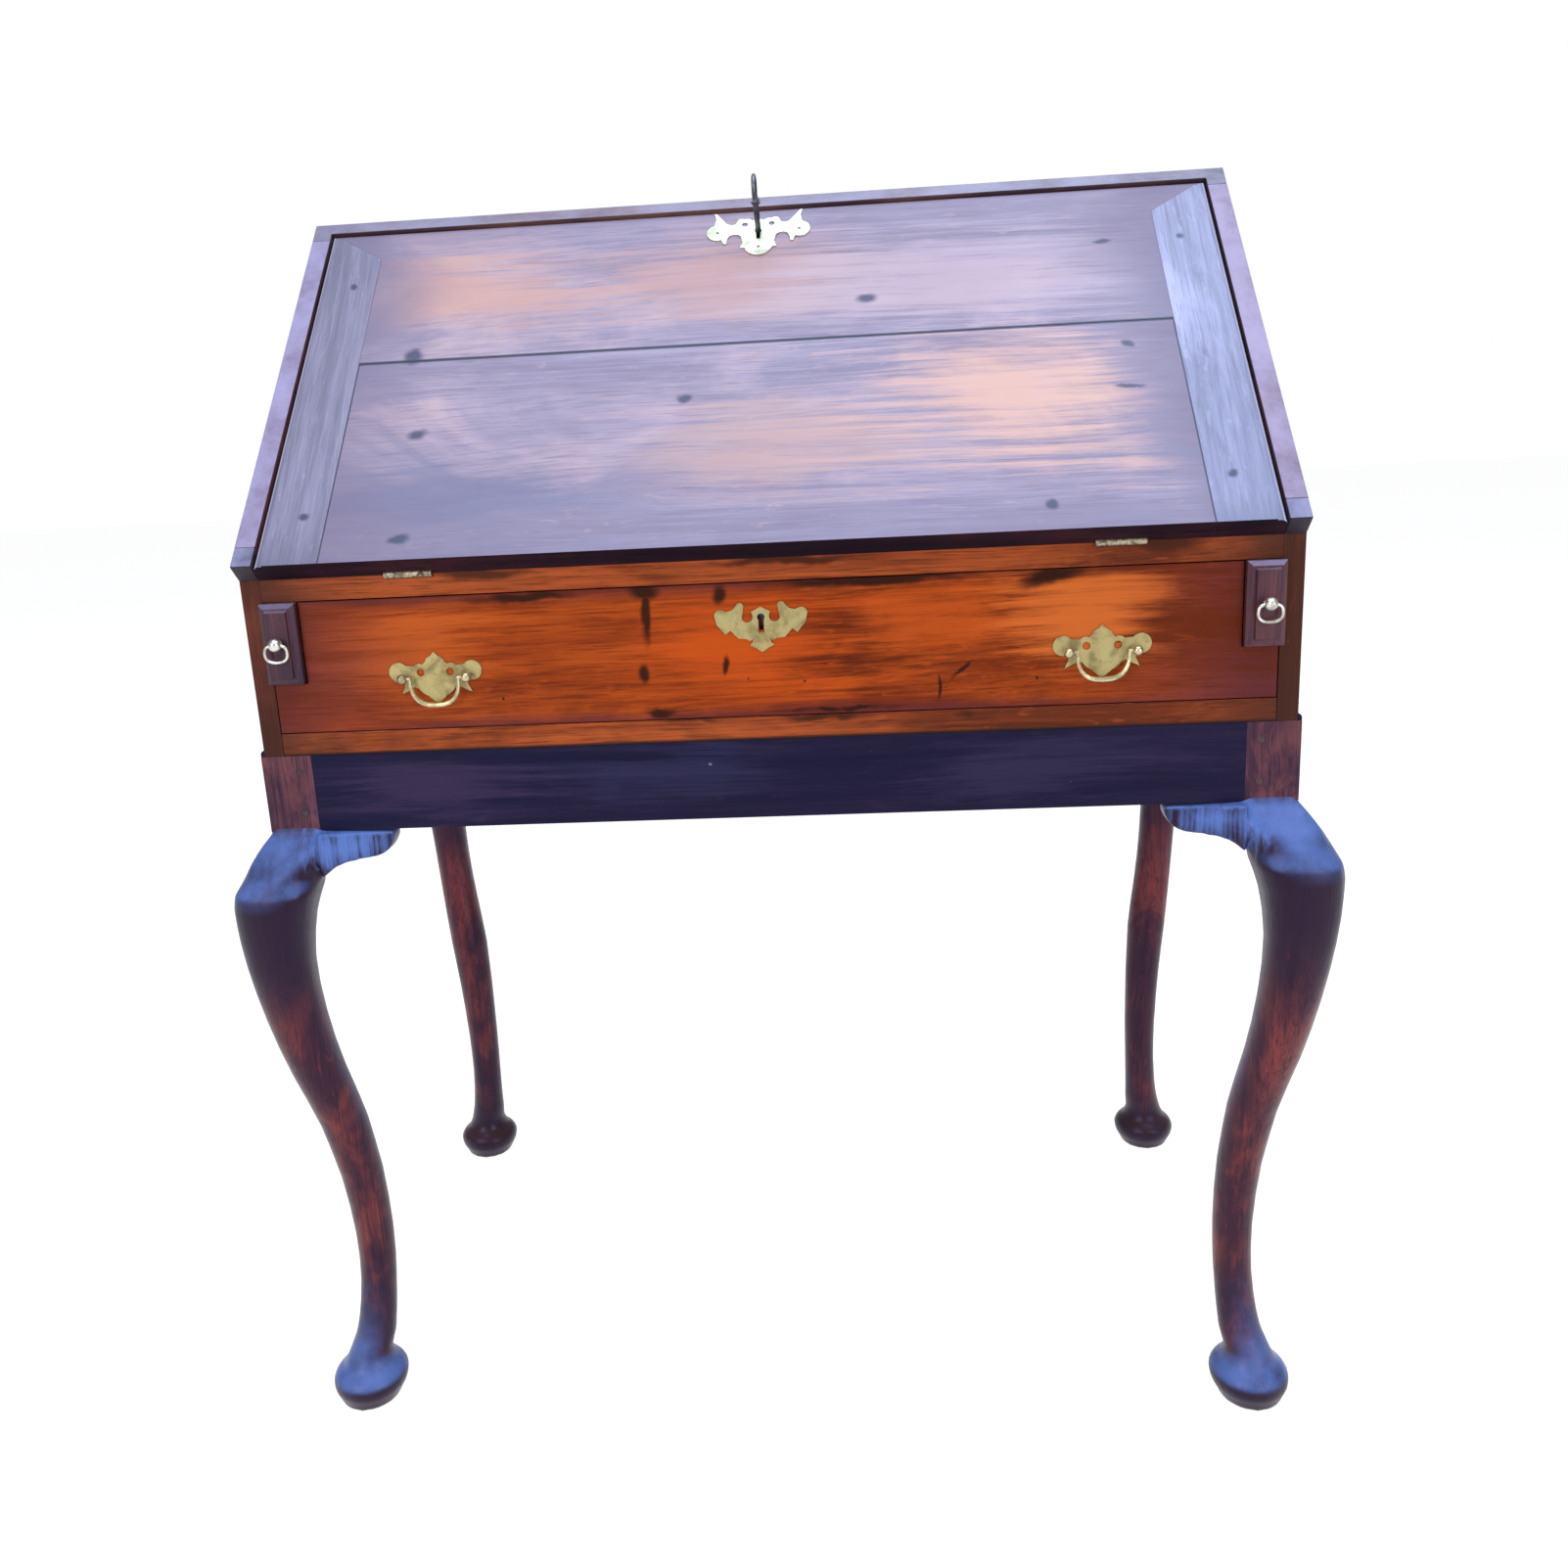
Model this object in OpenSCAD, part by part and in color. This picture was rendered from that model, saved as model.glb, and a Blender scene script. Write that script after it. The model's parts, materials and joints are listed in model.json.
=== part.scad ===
// Slant-front writing bureau on a cabriole-leg stand.
// X runs to the right, Y to the back, Z up. The origin is on the floor, under the middle.

/* [Stand] */
// Width across the stand's rails
stand_w = 800; // [700:1:1000]
// Depth across the stand's rails
stand_d = 430; // [380:1:540]
// Height of the top of the stand
stand_h = 586; // [500:1:650]
// Height of the rails
rail_h = 62; // [50:1:80]
// Thickness of the rails
rail_t = 22; // [18:1:24]
// Side of the square corner posts
post = 40; // [36:1:46]
// Length of a rail's tenon
tenon_len = 21; // [14:1:22]
// Thickness of a rail's tenon
tenon_t = 8; // [6:1:10]
// Radius of the pegs through the tenons
peg_r = 3; // [2:0.5:4]
// Radius of the pad feet
foot_r = 32.5; // [26:0.5:38]
// How far the knees swell past the post's centre
knee_out = 23.5; // [20:0.5:34]
// How far the ankles draw in past the post's centre
ankle_in = 11.5; // [10:0.5:24]
// How far the front feet stand forward of their posts
front_rake = 16; // [0:1:24]
// Share of the front legs' curve that the back legs have
back_curve = 0.6; // [0.4:0.05:1]
// Length of a knee bracket along its rail
bracket_len = 60; // [45:1:75]
// Height of a knee bracket
bracket_h = 38; // [30:1:44]

/* [Case] */
// Width of the stand left showing round the case
stand_lip = 3; // [1:0.5:6]
// Height of the case
case_h = 426; // [380:1:480]
// Thickness of the side boards
side_t = 16; // [14:0.5:20]
// Thickness of the top board
top_t = 15; // [13:0.5:18]
// Thickness of the bottom
bottom_t = 18; // [15:0.5:20]
// Thickness of the back boards
back_t = 12; // [8:0.5:14]
// Width of the front strips of the bottom and of the bed
strip_w = 60; // [45:1:80]
// Height of the drawer opening
opening_h = 103.5; // [95:0.5:130]

/* [Fall] */
// Slope of the fall from level, in degrees
slope = 46; // [42:0.5:52]
// Thickness of the fall
fall_t = 17.5; // [16:0.5:21]
// Width of the fall's end cleats
cleat_w = 50.5; // [40:0.5:60]
// Length of the lower board up the slope
lower_len = 206; // [150:1:230]
// Gap round the fall
fall_gap = 0.5; // [0.3:0.1:1]
// Width of the moulded edge
mould_w = 8; // [5:0.5:10]
// Length of a hinge along its pin
hinge_len = 37; // [30:1:45]
// Distance of each hinge's middle inside the end of the boards
hinge_inset = 65; // [30:1:120]
// Length of a hinge leaf from its pin
leaf_len = 24; // [18:1:30]
// Thickness of a hinge leaf
leaf_t = 1.6; // [1.2:0.1:2]
// Radius of a hinge knuckle
knuckle_r = 2.9; // [2.4:0.1:3.4]
// Radius of a hinge pin
pin_r = 1.2; // [1:0.1:1.4]

/* [Locks and key] */
// Distance of the keyhole below the fall's top edge
key_drop = 32; // [30:0.5:36]
// Radius of the key's shank
key_r = 2.4; // [2:0.1:2.8]
// Reach of the key's bit from the key's axis
bit_reach = 9.5; // [9:0.1:10]
// Travel of the fall's bolt
fall_throw = 7; // [6:0.5:8]
// Travel of the drawer's bolt
drawer_throw = 6; // [4:0.5:7]
// Width of a lock case
lock_w = 64; // [56:1:76]
// Wall of a lock case
lock_wall = 1.2; // [1:0.1:1.5]

/* [Lopers] */
// Width of a loper's end block
block_w = 28.5; // [24:0.5:32]
// Height of a loper's end block
block_h = 62.7; // [50:0.1:75]
// Thickness of a loper's end block
block_t = 10; // [8:0.5:12]
// Thickness of a loper's bar
loper_t = 23; // [20:0.5:26]
// Room left behind a loper
loper_room = 40; // [20:1:70]
// Thickness of the partition beside a loper
guide_t = 6.5; // [5:0.5:8]
// Gap round a loper
loper_gap = 0.8; // [0.5:0.1:1.5]
// Radius of the middle of a ring pull
ring_r = 8.75; // [7:0.25:11]
// Radius of a ring pull's wire
ring_wire = 1.25; // [1:0.05:1.6]
// Radius of a pull's ball
ball_r = 5.2; // [4.5:0.1:6]

/* [Drawer] */
// Thickness of the drawer front
front_t = 18; // [16:0.5:22]
// Gap round the drawer front
drawer_gap = 0.8; // [0.5:0.1:1.5]
// Thickness of the drawer's sides
drawer_side_t = 10; // [8:0.5:12]
// Room left behind the drawer
drawer_room = 32; // [17:1:60]
// Thickness of the drawer's bottom
panel_t = 6; // [5:0.5:8]
// Distance of each handle's middle inside the end of the drawer front
handle_inset = 128; // [90:1:170]
// Height of the handles above the bottom of the case
handle_z = 59; // [50:1:66]
// Distance between a handle's two posts
post_gap = 50; // [46:1:54]
// Thickness of the brass plates
plate_t = 1.3; // [1:0.1:2]
// Radius of a bail's wire
bail_wire = 1.6; // [1.2:0.1:2]

/* [Inside the fall] */
// Height of the shelf over the bed
shelf_h = 64; // [50:1:80]
// Thickness of the shelf and of the partitions
thin_t = 8; // [6:0.5:10]
// Distance of the shelf's front edge behind the front of the case
shelf_y = 200; // [170:1:230]
// Room between the closed fall and the tops of the upper partitions
upper_room = 22; // [10:1:40]
// Width of the small drawer
small_w = 246; // [180:1:280]

/* [Hidden] */
$fn = 72;

// Colours
oak_stand = "#4a2a22";
oak_case = "#9a4a24";
oak_fall = "#8a5a4c";
oak_inner = "#b98a58";
brass = "#c9bd82";
steel = "#4a4c52";

// Small clearances
touch = 0.02;   // drilled wood round a screw, peg or shank
hair = 0.2;     // faces that meet across a joint
eps = 0.01;     // overshoot of a cut
under_fall = 0.3;       // the drawer front's top edge below the lopers' tops
drawer_top_gap = 1;     // the drawer front's top edge below the rail over it

// Levels of the case
case_z = stand_h;
case_top_z = case_z + case_h;
opening_z = case_z + bottom_t;
bed_under = opening_z + opening_h;
bed_t = fall_t + hair + under_fall - drawer_top_gap;
bed_top = bed_under + bed_t;
top_under = case_top_z - top_t;
case_w = stand_w - 2 * stand_lip;
case_d = stand_d - 2 * stand_lip;
inner_w = case_w - 2 * side_t;
inner_x = inner_w / 2;
back_y = case_d - back_t;

// The fall turns on its lower inner corner, which is also the hinge pin
pin_y = -0.4;
pin_z = bed_top;
nose_y = pin_y - fall_t * sin(slope);
nose_z = pin_z + fall_t * cos(slope);
slope_len = (case_top_z - nose_z) / sin(slope);
top_strip = 12.5;
fall_len = slope_len - top_strip;
fall_w = inner_w - 2 * fall_gap;
board_w = fall_w - 2 * cleat_w;
hinge_x = board_w / 2 - hinge_inset;
crack = 0.3;

function slope_y(z) = nose_y + (z - nose_z) / tan(slope);
function arc(cx, cy, r, from, to, n) =
    [for (i = [0:n]) let (a = from + (to - from) * i / n) [cx + r * cos(a), cy + r * sin(a)]];
function flip(pts) = [for (i = [len(pts) - 1:-1:0]) [-pts[i][0], pts[i][1]]];

// Curve of a leg: [height share, shift share, half width, squareness]
// The shift is outwards where it is positive and inwards where it is negative.
knee_top = stand_h - rail_h;
leg_half = [
    [1.000, 0.00, post / 2 - hair, 40], [0.955, 0.42, post / 2 + 8.5, 4],
    [0.912, 0.80, post / 2 + 13, 2.8], [0.868, 0.97, post / 2 + 10, 2.5],
    [0.794, 1.00, post / 2 + 6, 2.3], [0.700, 0.80, post / 2 + 3.5, 2.1],
    [0.600, 0.43, 21.6, 2], [0.500, -0.09, 19.6, 2], [0.400, -0.70, 17.8, 2],
    [0.290, -1.00, 16.2, 2], [0.205, -0.92, 15.6, 2], [0.140, -0.64, 16.4, 2],
    [0.108, -0.40, 17.6, 2]
];
foot_h = 50;
foot_shape = [
    [0.84, 0.58], [0.66, 0.70], [0.55, 0.90], [0.44, 1.00], [0.28, 0.98], [0.12, 0.85], [0.00, 0.78]
];

function shift_of(s) = s > 0 ? s * knee_out : s * ankle_in;
function mix(a, b, t) = a + (b - a) * t;
function cubic(p0, p1, p2, p3, t) = p1 + 0.5 * t * (p2 - p0
    + t * (2 * p0 - 5 * p1 + 4 * p2 - p3 + t * (3 * (p1 - p2) + p3 - p0)));
function pick(i, k) = leg_half[min(max(i, 0), len(leg_half) - 1)][k];
function blend(i, t, k) = cubic(pick(i - 1, k), pick(i, k), pick(i + 1, k), pick(i + 2, k), t);
// Rings from the post down to the foot: [z, shift, half, power]
steps = 2;
leg_rings = concat(
    [for (i = [0:len(leg_half) - 2], j = [0:steps - 1]) let (t = j / steps)
        [blend(i, t, 0) * knee_top, shift_of(blend(i, t, 1)), blend(i, t, 2),
         max(2, i == 0 ? mix(pick(0, 3), pick(1, 3), t) : blend(i, t, 3))]],
    [[pick(99, 0) * knee_top, shift_of(pick(99, 1)), pick(99, 2), 2]],
    [for (f = foot_shape) [f[0] * foot_h, -0.02 * ankle_in + 3 * (1 - f[0]), f[1] * foot_r, 2]]
);
ring_n = 24;
// Share of the lost swell by which a straighter leg is also slimmer at the knee
slimming = 0.7;
function radius_at(a, half, p) =
    half / pow(pow(abs(cos(a)), p) + pow(abs(sin(a)), p), 1 / p);
// Section of a leg at one ring, about the post's centre: outwards is +X and -Y
function ring_half(r, curve) = r[2] - slimming * (1 - curve) * max(0, r[1]);
function leg_ring(r, curve, rake) =
    let (rz = r[0], off = r[1] * curve, lean = rake * (1 - rz / knee_top))
    [for (i = [0:ring_n - 1])
        let (a = 360 * i / ring_n, d = radius_at(a, ring_half(r, curve), r[3]))
        [off + d * cos(a), -off - lean + d * sin(a), rz]];
function knee_reach(curve, rake) =
    max([for (r = leg_rings) r[1] * curve + rake * (1 - r[0] / knee_top)
        + ring_half(r, curve)]);

// The middle of the whole desk from front to back
front_reach = knee_reach(1, front_rake) - post / 2;
back_reach = stand_d - post / 2 + knee_reach(back_curve, 0);
mid_y = (back_reach - front_reach) / 2;

post_x = stand_w / 2 - post / 2;
peg_z = [knee_top + rail_h * 0.25, knee_top + rail_h * 0.78];
peg_stagger = 3 * peg_r;

module place() { translate([0, -mid_y, 0]) children(); }
module both() { children(); mirror([1, 0, 0]) children(); }
module on_slope() { translate([0, pin_y, pin_z]) rotate([slope, 0, 0]) children(); }
module box(x0, x1, y0, y1, z0, z1) { translate([x0, y0, z0]) cube([x1 - x0, y1 - y0, z1 - z0]); }
module along_x(x0, x1, r) {
    translate([x0, 0, 0]) rotate([0, 90, 0]) cylinder(r = r, h = x1 - x0);
}
module along_y(y0, y1, r) {
    translate([0, y0, 0]) rotate([-90, 0, 0]) cylinder(r = r, h = y1 - y0);
}
// Extrudes an outline drawn as [y, z] along X
module side_shape(x0, x1, pts) {
    translate([x0, 0, 0]) rotate([90, 0, 90]) linear_extrude(x1 - x0) polygon(pts);
}
// Extrudes an outline drawn as [x, z] from y0 back to y1
module face_shape(y0, y1, pts) {
    translate([0, y1, 0]) rotate([90, 0, 0]) linear_extrude(y1 - y0) polygon(pts);
}

// ---- Stand ----

tenon_h = rail_h - 16;
tenon_z = knee_top + 8;
front_tenon_y = (rail_t - tenon_t) / 2;

module front_pegs(r) {
    for (z = peg_z)
        translate([stand_w / 2 - post + tenon_len / 2, 0, z]) along_y(0, post - 6, r);
}
module side_pegs(r) {
    for (z = peg_z)
        translate([0, post - tenon_len / 2, z - (z > knee_top + rail_h / 2 ? 1 : -1) * peg_stagger])
            translate([stand_w / 2 - post + 6, 0, 0]) along_x(0, post - 6, r);
}
module tenon_x(grow) {
    box(stand_w / 2 - post - eps, stand_w / 2 - post + tenon_len + grow, front_tenon_y - grow,
        front_tenon_y + tenon_t + grow, tenon_z - grow, tenon_z + tenon_h + grow);
}
module tenon_y(grow) {
    box(stand_w / 2 - front_tenon_y - tenon_t - grow, stand_w / 2 - front_tenon_y + grow,
        post - tenon_len - grow, post + eps, tenon_z - grow, tenon_z + tenon_h + grow);
}
module long_rail() {
    difference() {
        union() {
            box(post - stand_w / 2, stand_w / 2 - post, 0, rail_t, knee_top, stand_h);
            both() tenon_x(0);
        }
        both() front_pegs(peg_r + touch);
    }
}
module to_back() { translate([0, stand_d, 0]) mirror([0, 1, 0]) children(); }

module stand_front_rail() { color(oak_stand) place() long_rail(); }
module stand_back_rail() { color(oak_stand) place() to_back() long_rail(); }
module stand_side_rails() {
    color(oak_stand) place() both() difference() {
        union() {
            box(stand_w / 2 - rail_t, stand_w / 2, post, stand_d - post, knee_top, stand_h);
            tenon_y(0);
            to_back() tenon_y(0);
        }
        side_pegs(peg_r + touch);
        to_back() side_pegs(peg_r + touch);
    }
}
// A leg's root runs this far up inside its post
root_h = 2;
// One leg with its post, at the front right corner
module leg(curve, rake) {
    top_ring = leg_rings[0];
    root = [top_ring[0] + root_h, top_ring[1], top_ring[2] - root_h, top_ring[3]];
    rings = [for (r = concat([root], leg_rings)) leg_ring(r, curve, rake)];
    n = len(rings);
    pts = [for (ring = rings, p = ring) [p[0] + post_x, p[1] + post / 2, p[2]]];
    walls = [for (k = [0:n - 2], i = [0:ring_n - 1])
        let (j = (i + 1) % ring_n, a = k * ring_n, b = a + ring_n)
        each [[a + i, a + j, b + j], [a + i, b + j, b + i]]];
    top = [for (i = [ring_n - 1:-1:0]) i];
    base = [for (i = [0:ring_n - 1]) (n - 1) * ring_n + i];
    difference() {
        box(stand_w / 2 - post, stand_w / 2, 0, post, knee_top, stand_h);
        tenon_x(hair / 2);
        tenon_y(hair / 2);
        front_pegs(peg_r + touch);
        side_pegs(peg_r + touch);
    }
    polyhedron(pts, concat(walls, [top, base]), convexity = 4);
}

module leg_front_right() { color(oak_stand) place() leg(1, front_rake); }
module leg_front_left() { color(oak_stand) place() mirror([1, 0, 0]) leg(1, front_rake); }
module leg_back_right() { color(oak_stand) place() to_back() leg(back_curve, 0); }
module leg_back_left() {
    color(oak_stand) place() to_back() mirror([1, 0, 0]) leg(back_curve, 0);
}
// Curved bracket beside a post, swelling forward from the rail's face to the knee
bracket_t = 18;
module bracket(swell) {
    x1 = stand_w / 2 - post - touch;
    x0 = x1 - bracket_len;
    low = knee_top - bracket_h;
    lobe = 0.36 * bracket_len;
    intersection() {
        face_shape(-swell, bracket_t, concat(
            [[x1, knee_top]], arc(x0 + lobe, knee_top - 2, lobe, 180, 258, 6),
            [for (i = [1:6]) let (t = i / 6) [mix(x0 + lobe, x1, t),
                mix(knee_top - lobe - 2, low, 0.25 * t + 0.75 * pow(t, 4))]]));
        translate([0, 0, low - 20]) linear_extrude(bracket_h + 20) polygon(concat(
            [[x0, bracket_t], [x0, 0]],
            [for (i = [1:8]) [mix(x0, x1, i / 8), -swell * pow(i / 8, 1.6)]],
            [[x1, bracket_t]]));
    }
}
module knee_brackets() {
    color(oak_stand) place() both() {
        bracket(12);
        turned_bracket(12);
        to_back() turned_bracket(6);
    }
}
// The same bracket turned to run back along the side rail
module turned_bracket(swell) {
    c = stand_w / 2;
    translate([c, c, 0]) mirror([1, 1, 0]) bracket(swell);
}
module stand_side_beads() {
    color(oak_stand) place() both() translate([case_w / 2, 0, 0])
        face_shape(0, stand_d, concat([[0, stand_h], [stand_lip, stand_h]],
            arc(0, stand_h + 2, stand_lip, 0, 90, 6)));
}
module stand_pegs() {
    color(oak_inner) place() both() {
        front_pegs(peg_r);
        side_pegs(peg_r);
        to_back() front_pegs(peg_r);
        to_back() side_pegs(peg_r);
    }
}
module stand_glue_blocks() {
    long = 26;
    color(oak_inner) place() both() {
        box(stand_w / 2 - post - long, stand_w / 2 - post, rail_t, post, knee_top + 14, stand_h - 4);
        to_back() box(stand_w / 2 - post - long, stand_w / 2 - post, rail_t, post, knee_top + 14,
                      stand_h - 4);
    }
}

// ---- Case ----

module case_side() {
    side_shape(inner_x, case_w / 2, [[0, case_z], [case_d, case_z], [case_d, top_under],
        [slope_y(top_under), top_under], [0, nose_z + (0 - nose_y) * tan(slope)]]);
}
module case_right_side() { color(oak_case) place() case_side(); }
module case_left_side() { color(oak_case) place() mirror([1, 0, 0]) case_side(); }
module nose_pieces() {
    color(oak_case) place() both() side_shape(inner_x, case_w / 2,
        [[0, nose_z + (0 - nose_y) * tan(slope)], [nose_y, nose_z],
         [0, nose_z + nose_y / tan(slope)]]);
}
bolt_w = 26;
bolt_n0 = 5;
bolt_n1 = 9;
module case_top() {
    color(oak_case) place() difference() {
        side_shape(-case_w / 2, case_w / 2, [[slope_y(top_under), top_under],
            [case_d, top_under], [case_d, case_top_z], [slope_y(case_top_z), case_top_z]]);
        on_slope() box(-fall_w / 2 - fall_gap, fall_w / 2 + fall_gap, fall_len - 60,
                       fall_len + fall_gap, -1, fall_t + 1);
        on_slope() box(-bolt_w / 2 - 1, bolt_w / 2 + 1, fall_len, fall_len + fall_throw + 1,
                       bolt_n0 - 0.8, bolt_n1 + 0.8);
    }
}
module case_bottom_rail() {
    color(oak_case) place() box(-inner_x, inner_x, 0, strip_w, case_z, opening_z);
}
module case_bottom() {
    color(oak_inner) place() box(-inner_x, inner_x, strip_w, back_y, case_z, opening_z);
}
leaf_seat = 0.05;
module hinge_places() { for (s = [-1, 1]) translate([s * hinge_x, 0, 0]) children(); }
screw_spots = [[-12, 9.5], [0, 18], [12, 9.5]];
screw_r = 1.25;
screw_len = 10;
module bed_front_rail() {
    half = hinge_len / 2 + leaf_seat;
    color(oak_case) place() difference() {
        box(-inner_x, inner_x, 0, strip_w, bed_under, bed_top);
        hinge_places() {
            box(-half, half, -1, pin_y + leaf_len + leaf_seat, bed_top - leaf_t, bed_top + 1);
            translate([0, pin_y, pin_z]) along_x(-half, half, knuckle_r + 0.4);
            translate([0, pin_y, 0]) for (s = screw_spots)
                translate([s[0], s[1], bed_top - screw_len]) cylinder(r = screw_r + touch, h = 20);
        }
        box(-bolt_w / 2 - 1, bolt_w / 2 + 1, bolt_y0 - 0.8, bolt_y1 + 0.8, bed_under - 1,
            bed_under + drawer_throw + 1.2);
    }
}
module writing_bed() {
    color(oak_inner) place() box(-inner_x, inner_x, strip_w, back_y, bed_under, bed_top);
}
module back_boards() {
    boards = 3;
    high = (top_under - case_z) / boards;
    color(oak_inner) place() for (i = [0:boards - 1])
        box(-inner_x, inner_x, back_y, case_d, case_z + i * high,
            case_z + (i + 1) * high - (i < boards - 1 ? 0.5 : 0));
}
module fall_stops() {
    color(oak_inner) place() both() on_slope()
        box(inner_x - 8, inner_x, fall_len * 0.17, fall_len * 0.9, -10, -hair);
}
// Each loper runs in the corner between the side board, the bed and its own housing
loper_x1 = inner_x - loper_gap;
loper_x0 = loper_x1 - loper_t;
block_x1 = inner_x + 2;
block_x0 = block_x1 - block_w;
housing_x0 = loper_x0 - loper_gap - guide_t;
loper_top = pin_z - fall_t - hair;
block_z0 = loper_top - block_h;
bar_z0 = block_z0 + 2;
housing_y = front_t + 2;
module loper_housings() {
    color(oak_inner) place() both() {
        box(housing_x0, housing_x0 + guide_t, housing_y, back_y, opening_z, bed_under);
        box(housing_x0 + guide_t, inner_x, housing_y, back_y, bar_z0 - 14, bar_z0 - hair);
    }
}
module drawer_stops() {
    color(oak_inner) place() both() box(inner_x * 0.36, inner_x * 0.45, front_t + hair + 0.3,
        front_t + 12, opening_z, opening_z + 5);
}

// ---- Shelf and partitions behind the fall ----

shelf_z = bed_top + shelf_h;
upper_y = pin_y + (top_under - pin_z) / tan(slope) + upper_room;
module interior_shelf() {
    color(oak_inner) place() box(-inner_x, inner_x, shelf_y, back_y, shelf_z, shelf_z + thin_t);
}
module interior_dividers() {
    upper = 4;
    pitch = inner_w / (upper + 1);
    color(oak_inner) place() {
        both() box(small_w / 2 + 1, small_w / 2 + 1 + thin_t, shelf_y, back_y, bed_top, shelf_z);
        for (i = [1:upper])
            box(-inner_x + i * pitch - thin_t / 2, -inner_x + i * pitch + thin_t / 2, upper_y,
                back_y, shelf_z + thin_t, top_under);
    }
}
small_front_t = 10;
module small_drawer_front() {
    z0 = bed_top + 0.7;
    color(oak_inner) place() {
        box(-small_w / 2 + 0.3, small_w / 2 - 0.3, shelf_y + 1, shelf_y + 1 + small_front_t, z0,
            shelf_z - 0.8);
        translate([0, shelf_y + 1, (bed_top + shelf_z) / 2]) rotate([90, 0, 0])
            rotate_extrude() polygon(concat([[0, -0.5], [5, -0.5], [5, 1.5], [3, 3.5]],
                arc(1.5, 9, 5, -50, 90, 8), [[0, 14]]));
    }
}
module small_drawer_box() {
    x1 = small_w / 2 - 0.8;
    y0 = shelf_y + 1 + small_front_t;
    y1 = back_y - 8;
    z0 = bed_top + 0.7;
    color(oak_inner) place() difference() {
        box(-x1, x1, y0, y1, z0, shelf_z - 3);
        box(-x1 + 6, x1 - 6, y0 - 1, y1 - 6, z0 + 5, shelf_z);
    }
}

// ---- Hinges ----

knuckles = 5;
knuckle_len = hinge_len / knuckles;
bore_r = pin_r + 0.05;
// One leaf with its own knuckles, flat on Z = 0 with its thickness on the +Z side
module leaf(mine) {
    difference() {
        union() {
            box(-hinge_len / 2, hinge_len / 2, knuckle_r + 0.35, leaf_len, 0, leaf_t);
            for (k = mine) {
                x0 = -hinge_len / 2 + k * knuckle_len + 0.1;
                along_x(x0, x0 + knuckle_len - 0.2, knuckle_r);
                box(x0, x0 + knuckle_len - 0.2, 0, knuckle_r + 1, 0, leaf_t);
            }
        }
        along_x(-hinge_len, hinge_len, bore_r);
        for (s = screw_spots) translate([s[0], s[1], -1]) cylinder(r = screw_r + touch, h = 4);
    }
}
module hinge_bed_leaves() {
    color(brass) place() hinge_places() translate([0, pin_y, pin_z]) mirror([0, 0, 1])
        leaf([0, 2, 4]);
}
module hinge_fall_leaves() {
    color(brass) place() hinge_places() on_slope() leaf([1, 3]);
}
module hinge_pins() {
    color(brass) place() hinge_places() translate([0, pin_y, pin_z])
        along_x(-hinge_len / 2 + 0.1, hinge_len / 2 - 0.1, pin_r);
}
module hinge_bed_screws() {
    color(brass) place() hinge_places() translate([0, pin_y, bed_top - screw_len])
        for (s = screw_spots) translate([s[0], s[1], hair]) cylinder(r = screw_r, h = screw_len - hair);
}
module hinge_fall_screws() {
    color(brass) place() hinge_places() on_slope()
        for (s = screw_spots) translate([s[0], s[1], 0]) cylinder(r = screw_r, h = screw_len - hair);
}

// ---- Fall ----

key_s = fall_len - key_drop;
lock_n = 11;
lock_s0 = key_s - bit_reach - 4;
mitre_s = fall_len - 37;
// What the moulded edge takes off, for an edge along Y at X = 0 with the wood on the -X side
module edge_cut(long) {
    step = 1.4;
    rad = mould_w - 2;
    rotate([90, 0, 0]) translate([0, 0, -long]) linear_extrude(long + 1) polygon(concat(
        [[1, fall_t + 1], [-mould_w, fall_t + 1], [-mould_w, fall_t - step]],
        arc(-mould_w + 2, fall_t - step - rad, rad, 90, 0, 6),
        [[1, fall_t - step - rad]]));
}
module fall_cuts() {
    half = hinge_len / 2 + leaf_seat;
    both() translate([fall_w / 2, -1, 0]) edge_cut(fall_len + 2);
    translate([fall_w / 2 + 1, fall_len, 0]) rotate([0, 0, 90]) edge_cut(fall_w + 2);
    box(-lock_w / 2 - hair, lock_w / 2 + hair, lock_s0 - hair, fall_len + 1, -1, lock_n + hair);
    translate([0, key_s, 0]) {
        cylinder(r = key_r + 0.5, h = fall_t + 1);
        box(-1.6, 1.6, -bit_reach - 0.6, 0, 0, fall_t + 1);
    }
    hinge_places() {
        box(-half, half, -1, leaf_len + leaf_seat, -1, leaf_t);
        along_x(-half, half, knuckle_r + 0.4);
        for (s = screw_spots) translate([s[0], s[1], 0]) cylinder(r = screw_r + touch, h = screw_len);
    }
}
module fall_board(pts) {
    difference() {
        linear_extrude(fall_t) polygon(pts);
        fall_cuts();
    }
}
bw = board_w / 2;
fw = fall_w / 2;
module fall_upper_board() {
    s0 = lower_len + crack;
    color(oak_fall) place() on_slope() fall_board([[-bw, s0], [bw, s0], [bw, mitre_s],
        [fw, fall_len], [-fw, fall_len], [-bw, mitre_s]]);
}
module fall_lower_board() {
    color(oak_fall) place() on_slope() fall_board([[-bw, 0], [bw, 0], [bw, lower_len],
        [-bw, lower_len]]);
}
cleat_shape = [[bw, 0], [fw, 0], [fw, fall_len], [bw, mitre_s]];
module fall_right_cleat() { color(oak_fall) place() on_slope() fall_board(cleat_shape); }
module fall_left_cleat() {
    color(oak_fall) place() mirror([1, 0, 0]) on_slope() fall_board(cleat_shape);
}

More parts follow.
